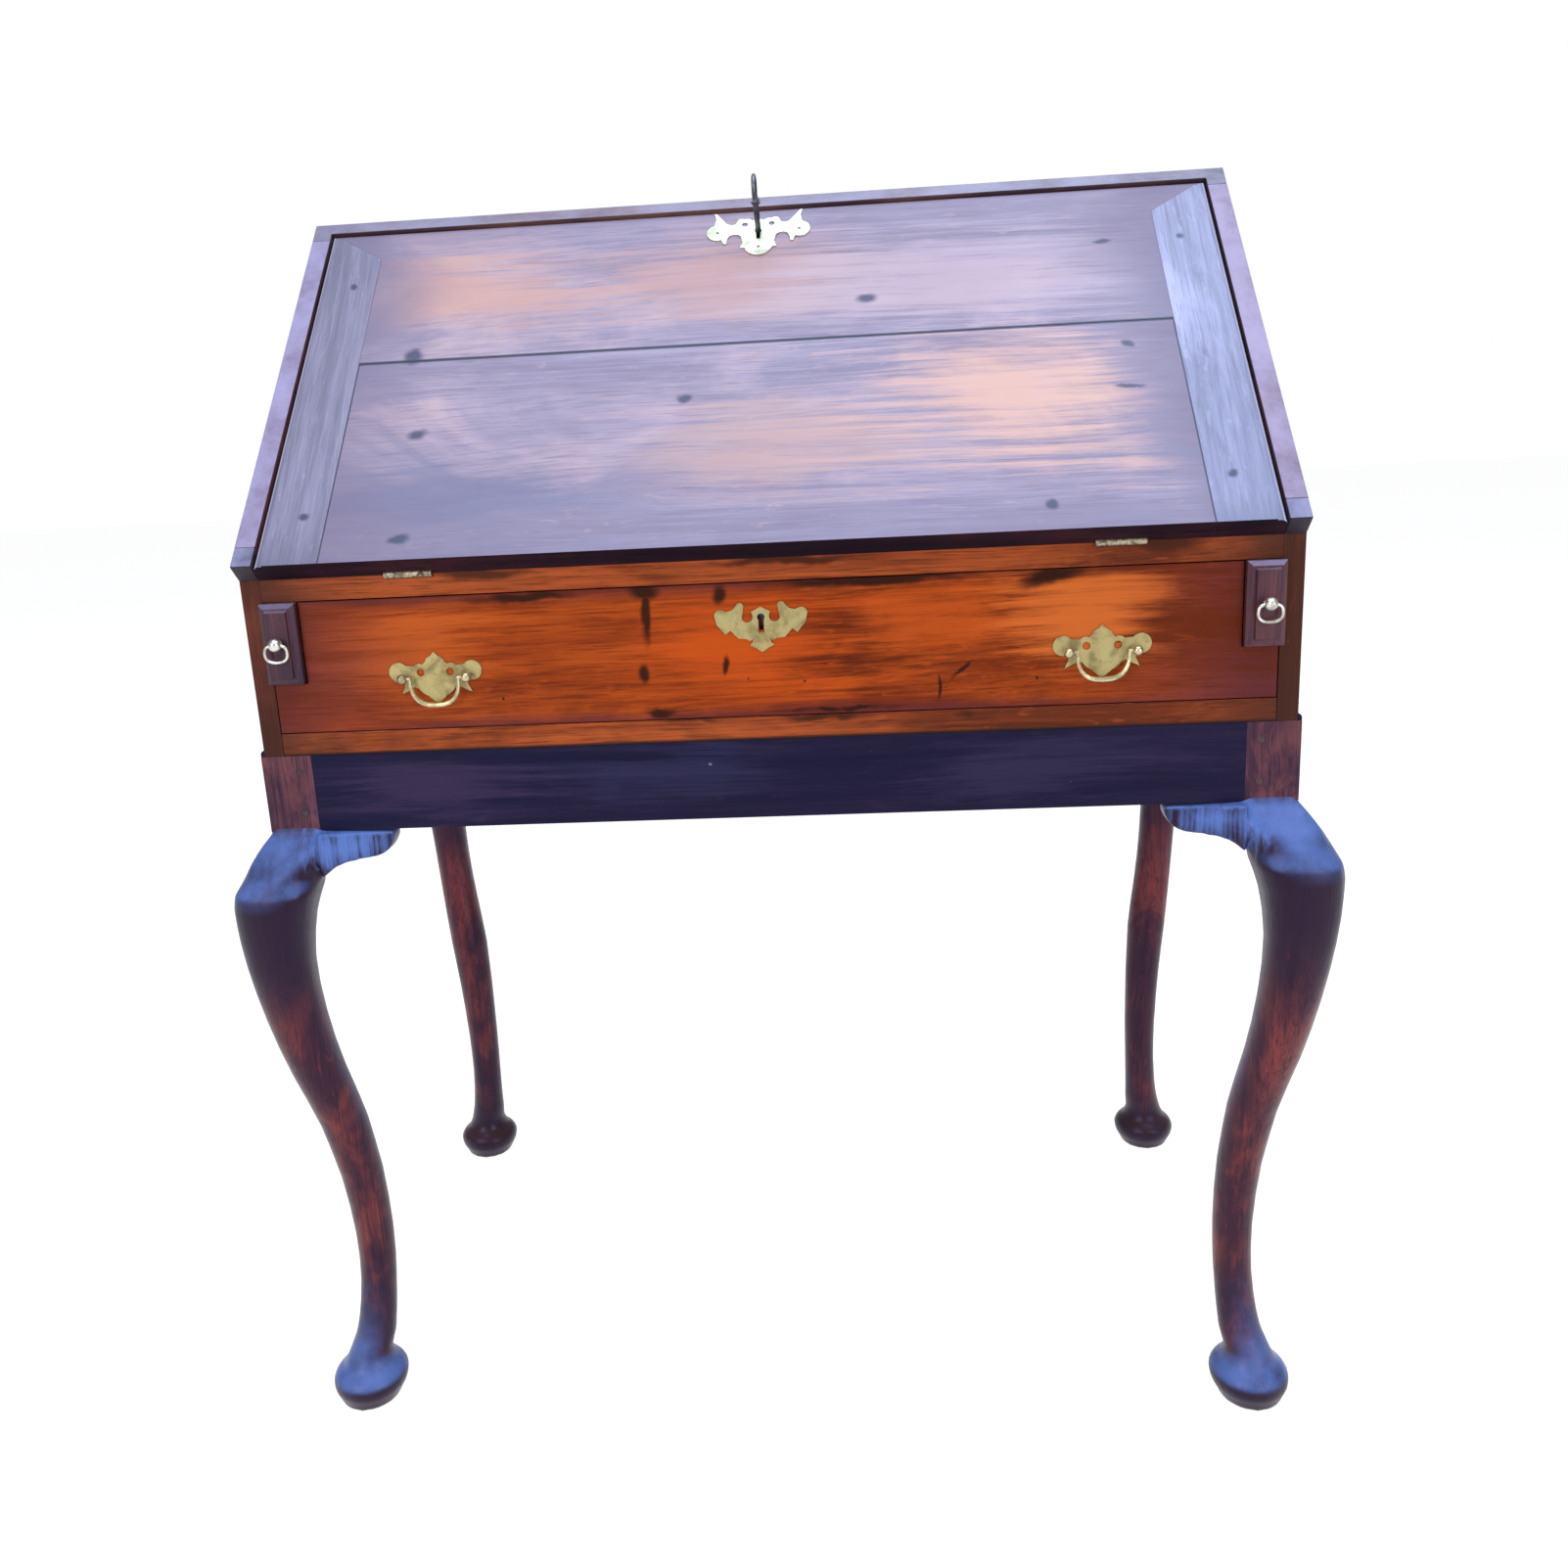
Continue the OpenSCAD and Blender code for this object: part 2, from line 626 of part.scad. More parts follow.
// Right half of the fall's escutcheon, about the key's axis, from the top down
fall_plate = concat([[0, 15], [5, 13.5], [8, 15.5]], arc(14.5, 12.5, 4, 130, 10, 5),
    arc(23, 14, 5, 200, 320, 5), [[30, 15], [36, 24], [38, 24.5], [36.5, 17], [38, 9.5]],
    arc(35, 0, 9.5, 72, -110, 12), [[30, -14], [27.5, -14.5], [27, -10]],
    arc(20.5, -9, 6, 10, 170, 7), [[13.5, -14], [15.5, -20], [12.8, -20.5]],
    arc(0, -18, 12, -12, -90, 7));
module fall_escutcheon() {
    color(brass) place() on_slope() translate([0, key_s, fall_t]) difference() {
        linear_extrude(plate_t) polygon(concat(fall_plate, flip(fall_plate)));
        translate([0, 0, -1]) {
            cylinder(r = key_r + 0.4, h = 4);
            box(-1.6, 1.6, -bit_reach - 0.6, 0, 0, 4);
            both() translate([35, 0, 0]) cylinder(r = 1.3, h = 4);
            both() translate([11.5, 8.5, 0]) cylinder(r = 2.6, h = 4);
            translate([0, -20, 0]) cylinder(r = 1.3, h = 4);
        }
    }
}
// A lock case, drawn with its bolt rising along +Y and its key along Z
module lock_shell(y0, y1, depth, slot0, slot1, key_at) {
    difference() {
        box(-lock_w / 2, lock_w / 2, y0, y1, 0, depth);
        box(-lock_w / 2 + lock_wall, lock_w / 2 - lock_wall, y0 + lock_wall, y1 - lock_wall,
            lock_wall, depth - lock_wall);
        box(-bolt_w / 2 - 0.3, bolt_w / 2 + 0.3, y1 - 3, y1 + 1, slot0 - 0.3, slot1 + 0.3);
        translate([0, key_at, lock_wall + 1]) {
            cylinder(r = key_r + 0.4, h = depth);
            box(-1.6, 1.6, -bit_reach - 0.6, 0, 0, depth);
        }
    }
}
module fall_lock_case() {
    color(steel) place() on_slope()
        lock_shell(lock_s0, fall_len - hair, lock_n, bolt_n0, bolt_n1, key_s);
}
module fall_lock_bolt() {
    color(brass) place() on_slope()
        box(-bolt_w / 2, bolt_w / 2, key_s + key_r + 1, fall_len - 0.6, bolt_n0, bolt_n1);
}
bow_r = 9.5;
bow_wire = 1.8;
key_out = 34;
module key() {
    color(steel) place() on_slope() translate([0, key_s, 0]) {
        translate([0, 0, 2.5]) cylinder(r = key_r, h = fall_t + key_out - 1);
        box(-1.1, 1.1, -bit_reach, 0, 3, bolt_n1 - 0.3);
        translate([0, 0, fall_t + key_out - 5]) cylinder(r = key_r + 1.4, h = 2.5);
        translate([0, 0, fall_t + key_out + bow_r]) rotate([0, 90, 0]) rotate_extrude()
            translate([bow_r, 0]) circle(r = bow_wire);
    }
}

// ---- Drawer ----

front_w = inner_w - 2 * drawer_gap;
front_z0 = opening_z + drawer_gap;
front_z1 = bed_under - drawer_top_gap;
notch_x = min(block_x0, loper_x0) - loper_gap;
notch_z = block_z0 - loper_gap;
side_x1 = housing_x0 - 2;
side_x0 = side_x1 - drawer_side_t;
drawer_len = back_y - drawer_room;
drawer_side_z1 = front_z1 - 4;
panel_z = front_z0 + 7.5;
lap = 6;
lock_z0 = front_z1 - 42;
bolt_y0 = 10;
bolt_y1 = 13.5;
lock_y = 8;
drawer_key_z = front_z1 - 26;

// Three dovetails on a drawer side, laid as [y, z] outlines, from the lap to the front's back face
module tails(grow) {
    count = 3;
    pitch = (drawer_side_z1 - front_z0) / count;
    for (i = [0:count - 1]) {
        mid = front_z0 + (i + 0.5) * pitch;
        side_shape(side_x0 - grow, side_x1 + grow, [[lap, mid - 11], [front_t + eps, mid - 8],
            [front_t + eps, mid + 8], [lap, mid + 11]]);
    }
}
module drawer_front() {
    color(oak_case) place() difference() {
        box(-front_w / 2, front_w / 2, 0, front_t, front_z0, front_z1);
        both() {
            box(notch_x, inner_x, -1, front_t + 1, notch_z, front_z1 + 1);
            tails(0);
            handle_holes() along_y(-1, front_t + 1, post_shank + touch);
        }
        box(-side_x0 - 4, side_x0 + 4, front_t - lap, front_t + 1, panel_z, panel_z + panel_t);
        box(-lock_w / 2 - hair, lock_w / 2 + hair, lock_y - hair, front_t + 1, lock_z0 - hair,
            front_z1 + 1);
        translate([0, 0, drawer_key_z]) {
            along_y(-1, lock_y + 1, key_r + 0.5);
            box(-1.6, 1.6, -1, lock_y + 1, -bit_reach - 0.6, 0);
        }
    }
}
module drawer_side() {
    difference() {
        union() {
            box(side_x0, side_x1, front_t, drawer_len, front_z0, drawer_side_z1);
            tails(0);
        }
        box(0, side_x0 + 5, front_t - lap - 1, drawer_len + 1, panel_z, panel_z + panel_t);
    }
}
module drawer_right_side() { color(oak_inner) place() drawer_side(); }
module drawer_left_side() { color(oak_inner) place() mirror([1, 0, 0]) drawer_side(); }
module drawer_back() {
    color(oak_inner) place() box(-side_x0, side_x0, drawer_len - 12, drawer_len - 2,
        panel_z + panel_t, drawer_side_z1 - 4);
}
module drawer_bottom() {
    color(oak_inner) place() box(-side_x0 - 4, side_x0 + 4, front_t - lap, drawer_len, panel_z,
        panel_z + panel_t);
}
// Right half of the drawer's escutcheon, about its middle, from the top down
key_plate = concat([[0, 14], [3.2, 12.2], [7.2, 10.4], [6.4, 8]], arc(10.3, 6.6, 4.2, 165, 345, 8),
    [[13.2, 11]], arc(15.6, 14.4, 3, 215, 10, 7), [[21.5, 12], [26, 11]],
    arc(30.6, 8.2, 4.4, 115, -25, 7), [[33.4, 1], [27, -6.4], [23.4, -3.2], [17.6, -9.6],
    [11.6, -10.2]], arc(8.8, -9, 2.6, 330, 190, 5), [[7, -13], [9.4, -15], [4.6, -17.4],
    [0, -20.5]]);
escutcheon_z = drawer_key_z - 6;
module drawer_escutcheon() {
    color(brass) place() difference() {
        translate([0, 0, escutcheon_z])
            face_shape(-plate_t, 0, concat(key_plate, flip(key_plate)));
        translate([0, 0, drawer_key_z]) {
            along_y(-3, 1, key_r + 0.4);
            box(-2.2, 2.2, -3, 1, -bit_reach - 2, 0);
        }
    }
}
module drawer_lock_case() {
    color(steel) place() translate([0, front_t, 0]) rotate([90, 0, 0])
        lock_shell(lock_z0, front_z1, front_t - lock_y, front_t - bolt_y1, front_t - bolt_y0,
                   drawer_key_z);
}
module drawer_lock_bolt() {
    color(brass) place()
        box(-bolt_w / 2, bolt_w / 2, bolt_y0, bolt_y1, drawer_key_z + 8, front_z1 - 0.4);
}
// Right half of a handle's back plate, about the middle between its posts, from the top down
back_plate = concat([[0, 19.5], [2.6, 16.6], [6.2, 14.6], [7.8, 11.6]],
    arc(12.4, 5.4, 5.2, 120, 40, 5), [[19, 9], [21.6, 9.2]], arc(28.6, 4.4, 7.6, 140, -120, 14),
    [[24.6, -6], [27.6, -12.6], [22, -10], [17.6, -7.4]], arc(0, 1.4, 17.6, -35, -66, 5),
    [[5.6, -16.4]], arc(0, -14.4, 5.2, -25, -90, 4));
plate_holes = 11.5;
post_shank = 2.2;
post_ball = 4;
post_y = -plate_t - post_ball - 1.5;
handle_x = front_w / 2 - handle_inset;
module handle_places() { translate([handle_x, 0, case_z + handle_z]) children(); }
module handle_holes() {
    handle_places() for (s = [-1, 1]) translate([s * post_gap / 2, 0, 0]) children();
}
module handle_plates() {
    color(brass) place() both() difference() {
        handle_places() face_shape(-plate_t, 0, concat(back_plate, flip(back_plate)));
        handle_holes() along_y(-4, 1, post_shank + touch);
        handle_places() for (s = [-1, 1]) translate([s * plate_holes, 0, 3.8]) along_y(-4, 1, 3);
    }
}
bail_pin = 1.3;
// Outline of a turned post as [radius, out]: shank, flange on the face it stands on, and ball
function post_line(tail, shank, face, flange, out, ball) = concat([[0, -tail], [shank, -tail],
    [shank, face], [shank + flange, face], [shank + flange, face + 1], [shank, face + 1]],
    arc(0, out, ball, -acos(shank / ball), 90, 9));
module turned_post(line) { rotate([90, 0, 0]) rotate([0, 0, 45]) rotate_extrude() polygon(line); }
module handle_posts() {
    color(brass) place() both() handle_places() for (s = [-1, 1]) difference() {
        translate([s * post_gap / 2, 0, 0]) {
            turned_post(post_line(front_t + 6, post_shank, plate_t, 1.4, -post_y, post_ball));
            rotate([0, 45, 0]) translate([-4.5, front_t, -4.5]) cube([9, 3.5, 9]);
        }
        translate([0, post_y, 0]) along_x(-post_gap / 2 + 0.8, post_gap / 2 - 0.8, bail_pin + 0.06);
    }
}
// A bail hangs as a flattened half ring between its two pins
bail_x = post_gap / 2 - post_ball - bail_wire - 0.3;
bail_drop = 21;
bail_n = 14;
bail_sides = 8;
function bail_at(t) = [bail_x * sign(cos(t)) * pow(abs(cos(t)), 0.75),
                       -bail_drop * pow(abs(sin(t)), 0.8)];
function bail_dir(t) = let (a = bail_at(max(t - 2, 0)), b = bail_at(min(t + 2, 180)), d = b - a)
    d / norm(d);
module bail() {
    ring = [for (k = [0:bail_n], i = [0:bail_sides - 1])
        let (t = 180 * k / bail_n, p = bail_at(t), d = bail_dir(t), a = 360 * i / bail_sides,
             w = bail_wire * (0.85 + 0.35 * sin(t)))
        [p[0] - d[1] * w * cos(a), w * sin(a), p[1] + d[0] * w * cos(a)]];
    walls = [for (k = [0:bail_n - 1], i = [0:bail_sides - 1])
        let (j = (i + 1) % bail_sides, m = k * bail_sides)
        each [[m + i, m + j, m + bail_sides + j], [m + i, m + bail_sides + j, m + bail_sides + i]]];
    start = [for (i = [bail_sides - 1:-1:0]) i];
    end = [for (i = [0:bail_sides - 1]) bail_n * bail_sides + i];
    translate([0, post_y, 0]) {
        polyhedron(ring, concat(walls, [start, end]), convexity = 4);
        both() along_x(bail_x - 0.9, post_gap / 2 - post_ball + 3, bail_pin);
    }
}
module right_bail() { color(brass) place() handle_places() bail(); }
module left_bail() { color(brass) place() mirror([1, 0, 0]) handle_places() bail(); }

// ---- Lopers ----

pull_x = (block_x0 + block_x1) / 2;
pull_z = loper_top - block_h * 0.48;
ball_y = -hair - block_t - ball_r - 0.8;
pull_shank = 2;
loper_len = back_y - loper_room;
module loper_bar() {
    difference() {
        box(loper_x0, loper_x1, 0, loper_len, bar_z0, loper_top);
        translate([pull_x, 0, pull_z]) along_y(-1, 24, pull_shank + touch);
    }
}
// Outline of the moulded block across one of its sizes: [across, out]
function block_line(w) = [[0, 0], [w, 0], [w, 5], [w - 3.6, 7.6], [w - 5.4, 7.6], [w - 6, block_t],
    [6, block_t], [5.4, 7.6], [3.6, 7.6], [0, 5]];
module loper_block() {
    difference() {
        intersection() {
            translate([block_x0, -hair, block_z0]) mirror([0, 1, 0])
                linear_extrude(block_h) polygon(block_line(block_w));
            translate([block_x1, -hair, block_z0]) rotate([0, -90, 0]) linear_extrude(block_w)
                polygon([for (p = block_line(block_h)) [p[0], -p[1]]]);
        }
        translate([pull_x, 0, pull_z]) along_y(-20, 1, pull_shank + touch);
    }
}
// Bore for a ring, flared so that the ring can swing in it about X
module ring_bore() {
    reach = ball_r + 1;
    throat = ball_r / 2;
    function wide(x) = ring_wire + 0.2 + ring_r - sqrt(ring_r * ring_r - x * x);
    rotate([0, 90, 0]) {
        cylinder(r = wide(throat), h = 2 * throat + 0.2, center = true);
        for (s = [0, 1]) mirror([0, 0, s]) translate([0, 0, throat])
            cylinder(r1 = wide(throat), r2 = wide(reach), h = reach - throat);
    }
}
module loper_post() {
    translate([pull_x, 0, pull_z]) difference() {
        turned_post(post_line(22, pull_shank, hair + block_t, 1.6, -ball_y, ball_r));
        translate([0, ball_y, 0]) ring_bore();
    }
}
module loper_ring() {
    translate([pull_x, ball_y, pull_z - ring_r]) rotate([90, 0, 0]) rotate_extrude()
        translate([ring_r, 0]) circle(r = ring_wire, $fn = 32);
}
module loper_right() { color(oak_case) place() loper_bar(); }
module loper_right_block() { color(oak_case) place() loper_block(); }
module loper_right_post() { color(brass) place() loper_post(); }
module loper_right_ring() { color(brass) place() loper_ring(); }
module loper_left() { color(oak_case) place() mirror([1, 0, 0]) loper_bar(); }
module loper_left_block() { color(oak_case) place() mirror([1, 0, 0]) loper_block(); }
module loper_left_post() { color(brass) place() mirror([1, 0, 0]) loper_post(); }
module loper_left_ring() { color(brass) place() mirror([1, 0, 0]) loper_ring(); }

stand_front_rail();
stand_back_rail();
stand_side_rails();
leg_front_left();
leg_front_right();
leg_back_left();
leg_back_right();
knee_brackets();
stand_side_beads();
stand_pegs();
stand_glue_blocks();
case_left_side();
case_right_side();
nose_pieces();
case_top();
case_bottom_rail();
case_bottom();
bed_front_rail();
writing_bed();
back_boards();
fall_stops();
loper_housings();
drawer_stops();
interior_shelf();
interior_dividers();
hinge_bed_leaves();
hinge_pins();
hinge_bed_screws();
fall_upper_board();
fall_lower_board();
fall_left_cleat();
fall_right_cleat();
fall_escutcheon();
fall_lock_case();
hinge_fall_leaves();
hinge_fall_screws();
fall_lock_bolt();
key();
drawer_front();
drawer_left_side();
drawer_right_side();
drawer_back();
drawer_bottom();
drawer_escutcheon();
handle_plates();
handle_posts();
drawer_lock_case();
drawer_lock_bolt();
left_bail();
right_bail();
loper_left();
loper_left_block();
loper_left_post();
loper_left_ring();
loper_right();
loper_right_block();
loper_right_post();
loper_right_ring();
small_drawer_front();
small_drawer_box();
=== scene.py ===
# Slant-front oak bureau on a cabriole-leg stand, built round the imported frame.
import json
import math

import bmesh
import bpy
from mathutils import Matrix, Vector


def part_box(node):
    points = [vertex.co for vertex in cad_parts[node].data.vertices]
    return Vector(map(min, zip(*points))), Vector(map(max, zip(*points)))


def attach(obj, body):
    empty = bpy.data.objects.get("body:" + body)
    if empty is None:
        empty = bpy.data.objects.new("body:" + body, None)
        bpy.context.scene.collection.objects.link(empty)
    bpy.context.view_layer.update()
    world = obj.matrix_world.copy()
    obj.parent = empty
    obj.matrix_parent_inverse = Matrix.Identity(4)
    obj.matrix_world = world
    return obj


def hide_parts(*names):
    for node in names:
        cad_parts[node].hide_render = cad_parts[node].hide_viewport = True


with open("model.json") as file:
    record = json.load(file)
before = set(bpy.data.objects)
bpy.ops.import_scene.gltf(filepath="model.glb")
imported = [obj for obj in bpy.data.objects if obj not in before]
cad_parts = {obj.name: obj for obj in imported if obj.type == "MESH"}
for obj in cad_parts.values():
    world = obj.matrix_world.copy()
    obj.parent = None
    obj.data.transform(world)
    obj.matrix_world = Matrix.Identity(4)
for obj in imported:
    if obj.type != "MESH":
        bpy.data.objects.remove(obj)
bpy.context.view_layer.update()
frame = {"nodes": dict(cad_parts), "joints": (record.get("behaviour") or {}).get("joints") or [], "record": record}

# ---- Stand rails ----
# Four plain oak rails, tenoned and pegged into the leg posts. They were stained almost black
# and waxed for many years, so they take a cold shine.
scene = bpy.context.scene


def copy_of(*names):
    """The solids of these frame nodes in one mesh, with their flat faces whole."""
    bm = bmesh.new()
    for n in names:
        bm.from_mesh(frame["nodes"][n].data)
    bmesh.ops.remove_doubles(bm, verts=bm.verts, dist=1e-5)
    bmesh.ops.dissolve_limit(bm, angle_limit=math.radians(0.4), verts=bm.verts, edges=bm.edges)
    return bm


def fit(bm, name, body, slot, finish, *nodes):
    """Makes the mesh a piece that moves with a body and stands for these frame nodes."""
    mesh = bpy.data.meshes.new(name)
    bm.to_mesh(mesh)
    bm.free()
    mesh.shade_smooth()
    mesh.materials.append(finish)
    piece = bpy.data.objects.new(name, mesh)
    scene.collection.objects.link(piece)
    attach(piece, body)
    if nodes:
        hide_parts(*nodes)
    return piece


def ease(piece, width, segments=2, angle=30):
    """Rubs down the sharp edges of a piece."""
    mod = piece.modifiers.new("eased_edges", "BEVEL")
    mod.width = width
    mod.segments = segments
    mod.limit_method = "ANGLE"
    mod.angle_limit = math.radians(angle)
    mod.use_clamp_overlap = True
    mod.miter_outer = "MITER_ARC"
    flat = piece.modifiers.new("flat_faces", "WEIGHTED_NORMAL")
    flat.mode = "FACE_AREA"
    flat.weight = 100
    return piece


class Finish:
    """A material, with short ways to lay one layer over another."""

    def __init__(self, name):
        self.material = bpy.data.materials.new(name)
        self.material.use_nodes = True
        self.tree = self.material.node_tree
        self.shader = self.tree.nodes["Principled BSDF"]

    def add(self, kind, sockets, out=0, **settings):
        made = self.tree.nodes.new("ShaderNode" + kind)
        for key, value in settings.items():
            setattr(made, key, value)
        for key, value in sockets.items():
            if isinstance(value, bpy.types.NodeSocket):
                self.tree.links.new(value, made.inputs[key])
            else:
                made.inputs[key].default_value = value
        return made.outputs[out]

    def sum(self, how, a, b=0.0, c=0.0):
        return self.add("Math", {0: a, 1: b, 2: c}, operation=how)

    def between(self, value, low, high, to_low=0.0, to_high=1.0):
        return self.add("MapRange", {"Value": value, "From Min": low, "From Max": high,
                                     "To Min": to_low, "To Max": to_high},
                        interpolation_type="SMOOTHSTEP")

    def lay(self, share, under, over, how="MIX"):
        return self.add("Mix", {0: share, 6: under, 7: over}, out=2, data_type="RGBA",
                        blend_type=how, clamp_factor=True)

    def noise(self, at, scale, detail=4.0, rough=0.55, bend=0.0):
        return self.add("TexNoise", {"Vector": at, "Scale": scale, "Detail": detail,
                                     "Roughness": rough, "Distortion": bend})

    def stretch(self, at, scale, shift=(0, 0, 0)):
        return self.add("Mapping", {"Vector": at, "Scale": scale, "Location": shift})

    def place(self, at=(0, 0, 0), turn=(0, 0, 0)):
        """The point on the piece, measured from `at` in axes turned by `turn` degrees."""
        where = self.add("TexCoord", {}, out=3)
        return self.add("Mapping", {"Vector": where, "Location": at,
                                    "Rotation": [math.radians(a) for a in turn]},
                        vector_type="TEXTURE")

    def set(self, **sockets):
        for key, value in sockets.items():
            socket = self.shader.inputs[key.replace("_", " ")]
            if isinstance(value, bpy.types.NodeSocket):
                self.tree.links.new(value, socket)
            else:
                socket.default_value = value
        return self.material


ALONG = {"X": (0, 0, 0), "Y": (0, 0, 90), "Z": (0, -90, 0)}


def rgb(r, g, b):
    return (r, g, b, 1.0)


def oak(name, dark, middle, warm, along="X", at=(0, 0, 0), seed=0.0, contrast=1.0, warm_share=0.5,
        warm_size=3.0, borders=(), border_colour=None, marks=(), mark_colour=None, shine=1.5,
        tint=(1, 1, 1), rough=0.38, coat=0.0, figure=0.35, grime=0.5, painted_sheen=None,
        fades_and_sheens=(), rims=(), sheen_spots=()):
    """Quarter-sawn oak: streaks, pores and ray flecks along the grain, then stain and wear, and painted sheen and
    shade where asked.

    painted_sheen: the colour of a painted sky sheen, mixed into whatever faces up.
    borders: (axis, low, high, softness) in the board's own axes, where hands and dust darkened it.
    marks: (x, y, z, length, width, turn) of knots, splits and ink stains, in the same axes.
    fades_and_sheens: (x, y, z, length, width, strength, colour) of places where the polish has faded, and of
    patches of painted sheen.
    sheen_spots: the same for painted sheen that lies over all the rest.
    rims: (axis, low, high, softness, colour) of ends and edges that differ from the face.
    """
    f = Finish(name)
    turn = ALONG[along] if isinstance(along, str) else along
    here = f.place(at, turn)
    shift = (seed * 1.7, seed * 3.1, seed * 2.3)
    # the tree's own waviness bends everything that follows the grain
    sway = f.noise(f.stretch(here, (1.6, 7.0, 7.0), shift), 1.0, 2.0)
    bend = f.add("CombineXYZ", {"X": 0.0, "Y": f.sum("MULTIPLY_ADD", sway, 0.05, -0.025),
                                "Z": f.sum("MULTIPLY_ADD", sway, 0.04, -0.02)})
    grain = f.add("VectorMath", {0: here, 1: bend}, operation="ADD")
    streaks = f.noise(f.stretch(grain, (4.0, 120.0, 120.0), shift), 1.0, 6.0, 0.78)
    bands = f.noise(f.stretch(grain, (0.9, 16.0, 16.0), shift), 1.0, 4.0, 0.6, 0.6)
    pores = f.noise(f.stretch(grain, (22.0, 620.0, 620.0), shift), 1.0, 3.0, 0.6)
    flecks = f.noise(f.stretch(grain, (48.0, 170.0, 170.0), shift), 1.0, 2.0, 0.5, 0.8)
    blotch = f.noise(f.stretch(here, (warm_size, warm_size * 1.7, warm_size * 1.7), shift),
                     1.0, 5.0, 0.62, 0.5)
    soil = f.noise(f.stretch(here, (9.0, 14.0, 14.0), shift), 1.0, 6.0, 0.7)

    tone = f.sum("ADD", f.sum("MULTIPLY", streaks, 0.62), f.sum("MULTIPLY", bands, 0.38))
    colour = f.lay(f.between(tone, 0.5 - 0.16 / contrast, 0.5 + 0.16 / contrast), dark, middle)
    colour = f.lay(f.between(blotch, 0.62 - 0.34 * warm_share, 0.80 - 0.34 * warm_share),
                   colour, f.lay(f.between(tone, 0.36, 0.62), middle, warm))
    colour = f.lay(f.sum("MULTIPLY", f.between(flecks, 0.60, 0.74), figure), colour, warm)
    colour = f.lay(f.sum("MULTIPLY", f.between(pores, 0.50, 0.66), 0.6), colour, dark)
    colour = f.lay(f.sum("MULTIPLY", f.between(soil, 0.58, 0.80), grime), colour, dark)

    # soft spots of faded polish, and patches of painted sheen and brightness
    def fade(under, spots):
        for x, y, z, length, width, strength, wear_and_sheen in spots:
            away = f.add("VectorMath", {0: f.add("Mapping", {
                "Vector": here, "Location": (x, y, z), "Scale": (length, width, width)},
                vector_type="TEXTURE")}, out=1, operation="LENGTH")
            away = f.sum("ADD", away, f.sum("MULTIPLY_ADD", blotch, 2.0, -1.0))
            away = f.sum("ADD", away, f.sum("MULTIPLY_ADD", tone, -4.0, 2.0))
            share = f.between(away, 1.0, 0.1)
            under = f.lay(f.sum("MULTIPLY", share, strength), under, wear_and_sheen)
        return under

    colour = fade(colour, fades_and_sheens)
    swirl = f.add("TexNoise", {"Vector": here, "Scale": 38.0, "Detail": 4.0}, out=1)
    wander = f.add("VectorMath", {0: swirl, 1: (0.012, 0.012, 0.012), 2: here},
                   operation="MULTIPLY_ADD")
    wander = f.add("VectorMath", {0: wander, 1: (0.006, 0.006, 0.006)}, operation="SUBTRACT")
    if borders:
        xyz = f.add("SeparateXYZ", {"Vector": here}).node.outputs
        edge = 0.0
        for axis, low, high, soft in borders:
            v = xyz["XYZ".index(axis)]
            v = f.sum("MULTIPLY_ADD", f.sum("SUBTRACT", blotch, 0.5), soft * 1.5, v)
            inner = f.sum("MINIMUM", f.sum("SUBTRACT", v, low), f.sum("SUBTRACT", high, v))
            edge = f.sum("MAXIMUM", edge, f.between(inner, 0.0, soft, 1.0, 0.0))
        colour = f.lay(edge, colour, f.lay(f.between(tone, 0.36, 0.64), dark, border_colour))
    worn = 0.0
    for x, y, z, length, width, turned in marks:
        away = f.add("VectorMath", {0: f.add("Mapping", {
            "Vector": wander, "Location": (x, y, z), "Scale": (length, width, width),
            "Rotation": (0, math.radians(turned), 0)}, vector_type="TEXTURE")},
            out=1, operation="LENGTH")
        worn = f.sum("MAXIMUM", worn, f.between(away, 1.0, 0.35))
    if marks:
        colour = f.lay(f.sum("MULTIPLY", worn, 0.94), colour, mark_colour or dark)
    if rims:
        xyz = f.add("SeparateXYZ", {"Vector": here}).node.outputs
        for axis, low, high, soft, rim in rims:
            v = xyz["XYZ".index(axis)]
            inner = f.sum("MINIMUM", f.sum("SUBTRACT", v, low), f.sum("SUBTRACT", high, v))
            colour = f.lay(f.between(inner, 0.0, soft, 0.92, 0.0), colour, rim)
    # painted sheen: faces that point up are mixed towards a given colour, standing in for reflected light
    if painted_sheen:
        up = f.add("SeparateXYZ", {"Vector": f.add("TexCoord", {}, out=1)}, out=2)
        sheen_paint = f.sum("MULTIPLY", f.between(up, 0.0, 0.7), f.between(soil, 0.85, 0.35))
        colour = f.lay(sheen_paint, colour, painted_sheen)
    colour = fade(colour, sheen_spots)
    roughness = f.sum("ADD", f.between(soil, 0.3, 0.8, rough - 0.07, rough + 0.13),
                      f.sum("MULTIPLY", f.between(pores, 0.55, 0.7), 0.12))
    height = f.sum("ADD", f.sum("MULTIPLY", pores, -0.5), f.sum("MULTIPLY", streaks, 0.35))
    height = f.sum("ADD", height, f.sum("MULTIPLY", blotch, 2.2))
    normal = f.add("Bump", {"Strength": 0.28, "Distance": 0.0012, "Height": height})
    return f.set(Base_Color=colour, Roughness=roughness, Normal=normal, IOR=shine,
                 Specular_Tint=rgb(*tint), Coat_Weight=coat, Coat_Roughness=0.2)


stand_dark = rgb(0.004, 0.003, 0.006)
stand_middle = rgb(0.014, 0.008, 0.016)
stand_warm = rgb(0.045, 0.018, 0.022)
stand_tint = (0.22, 0.24, 0.85)
rail_low, rail_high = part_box("stand_front_rail")
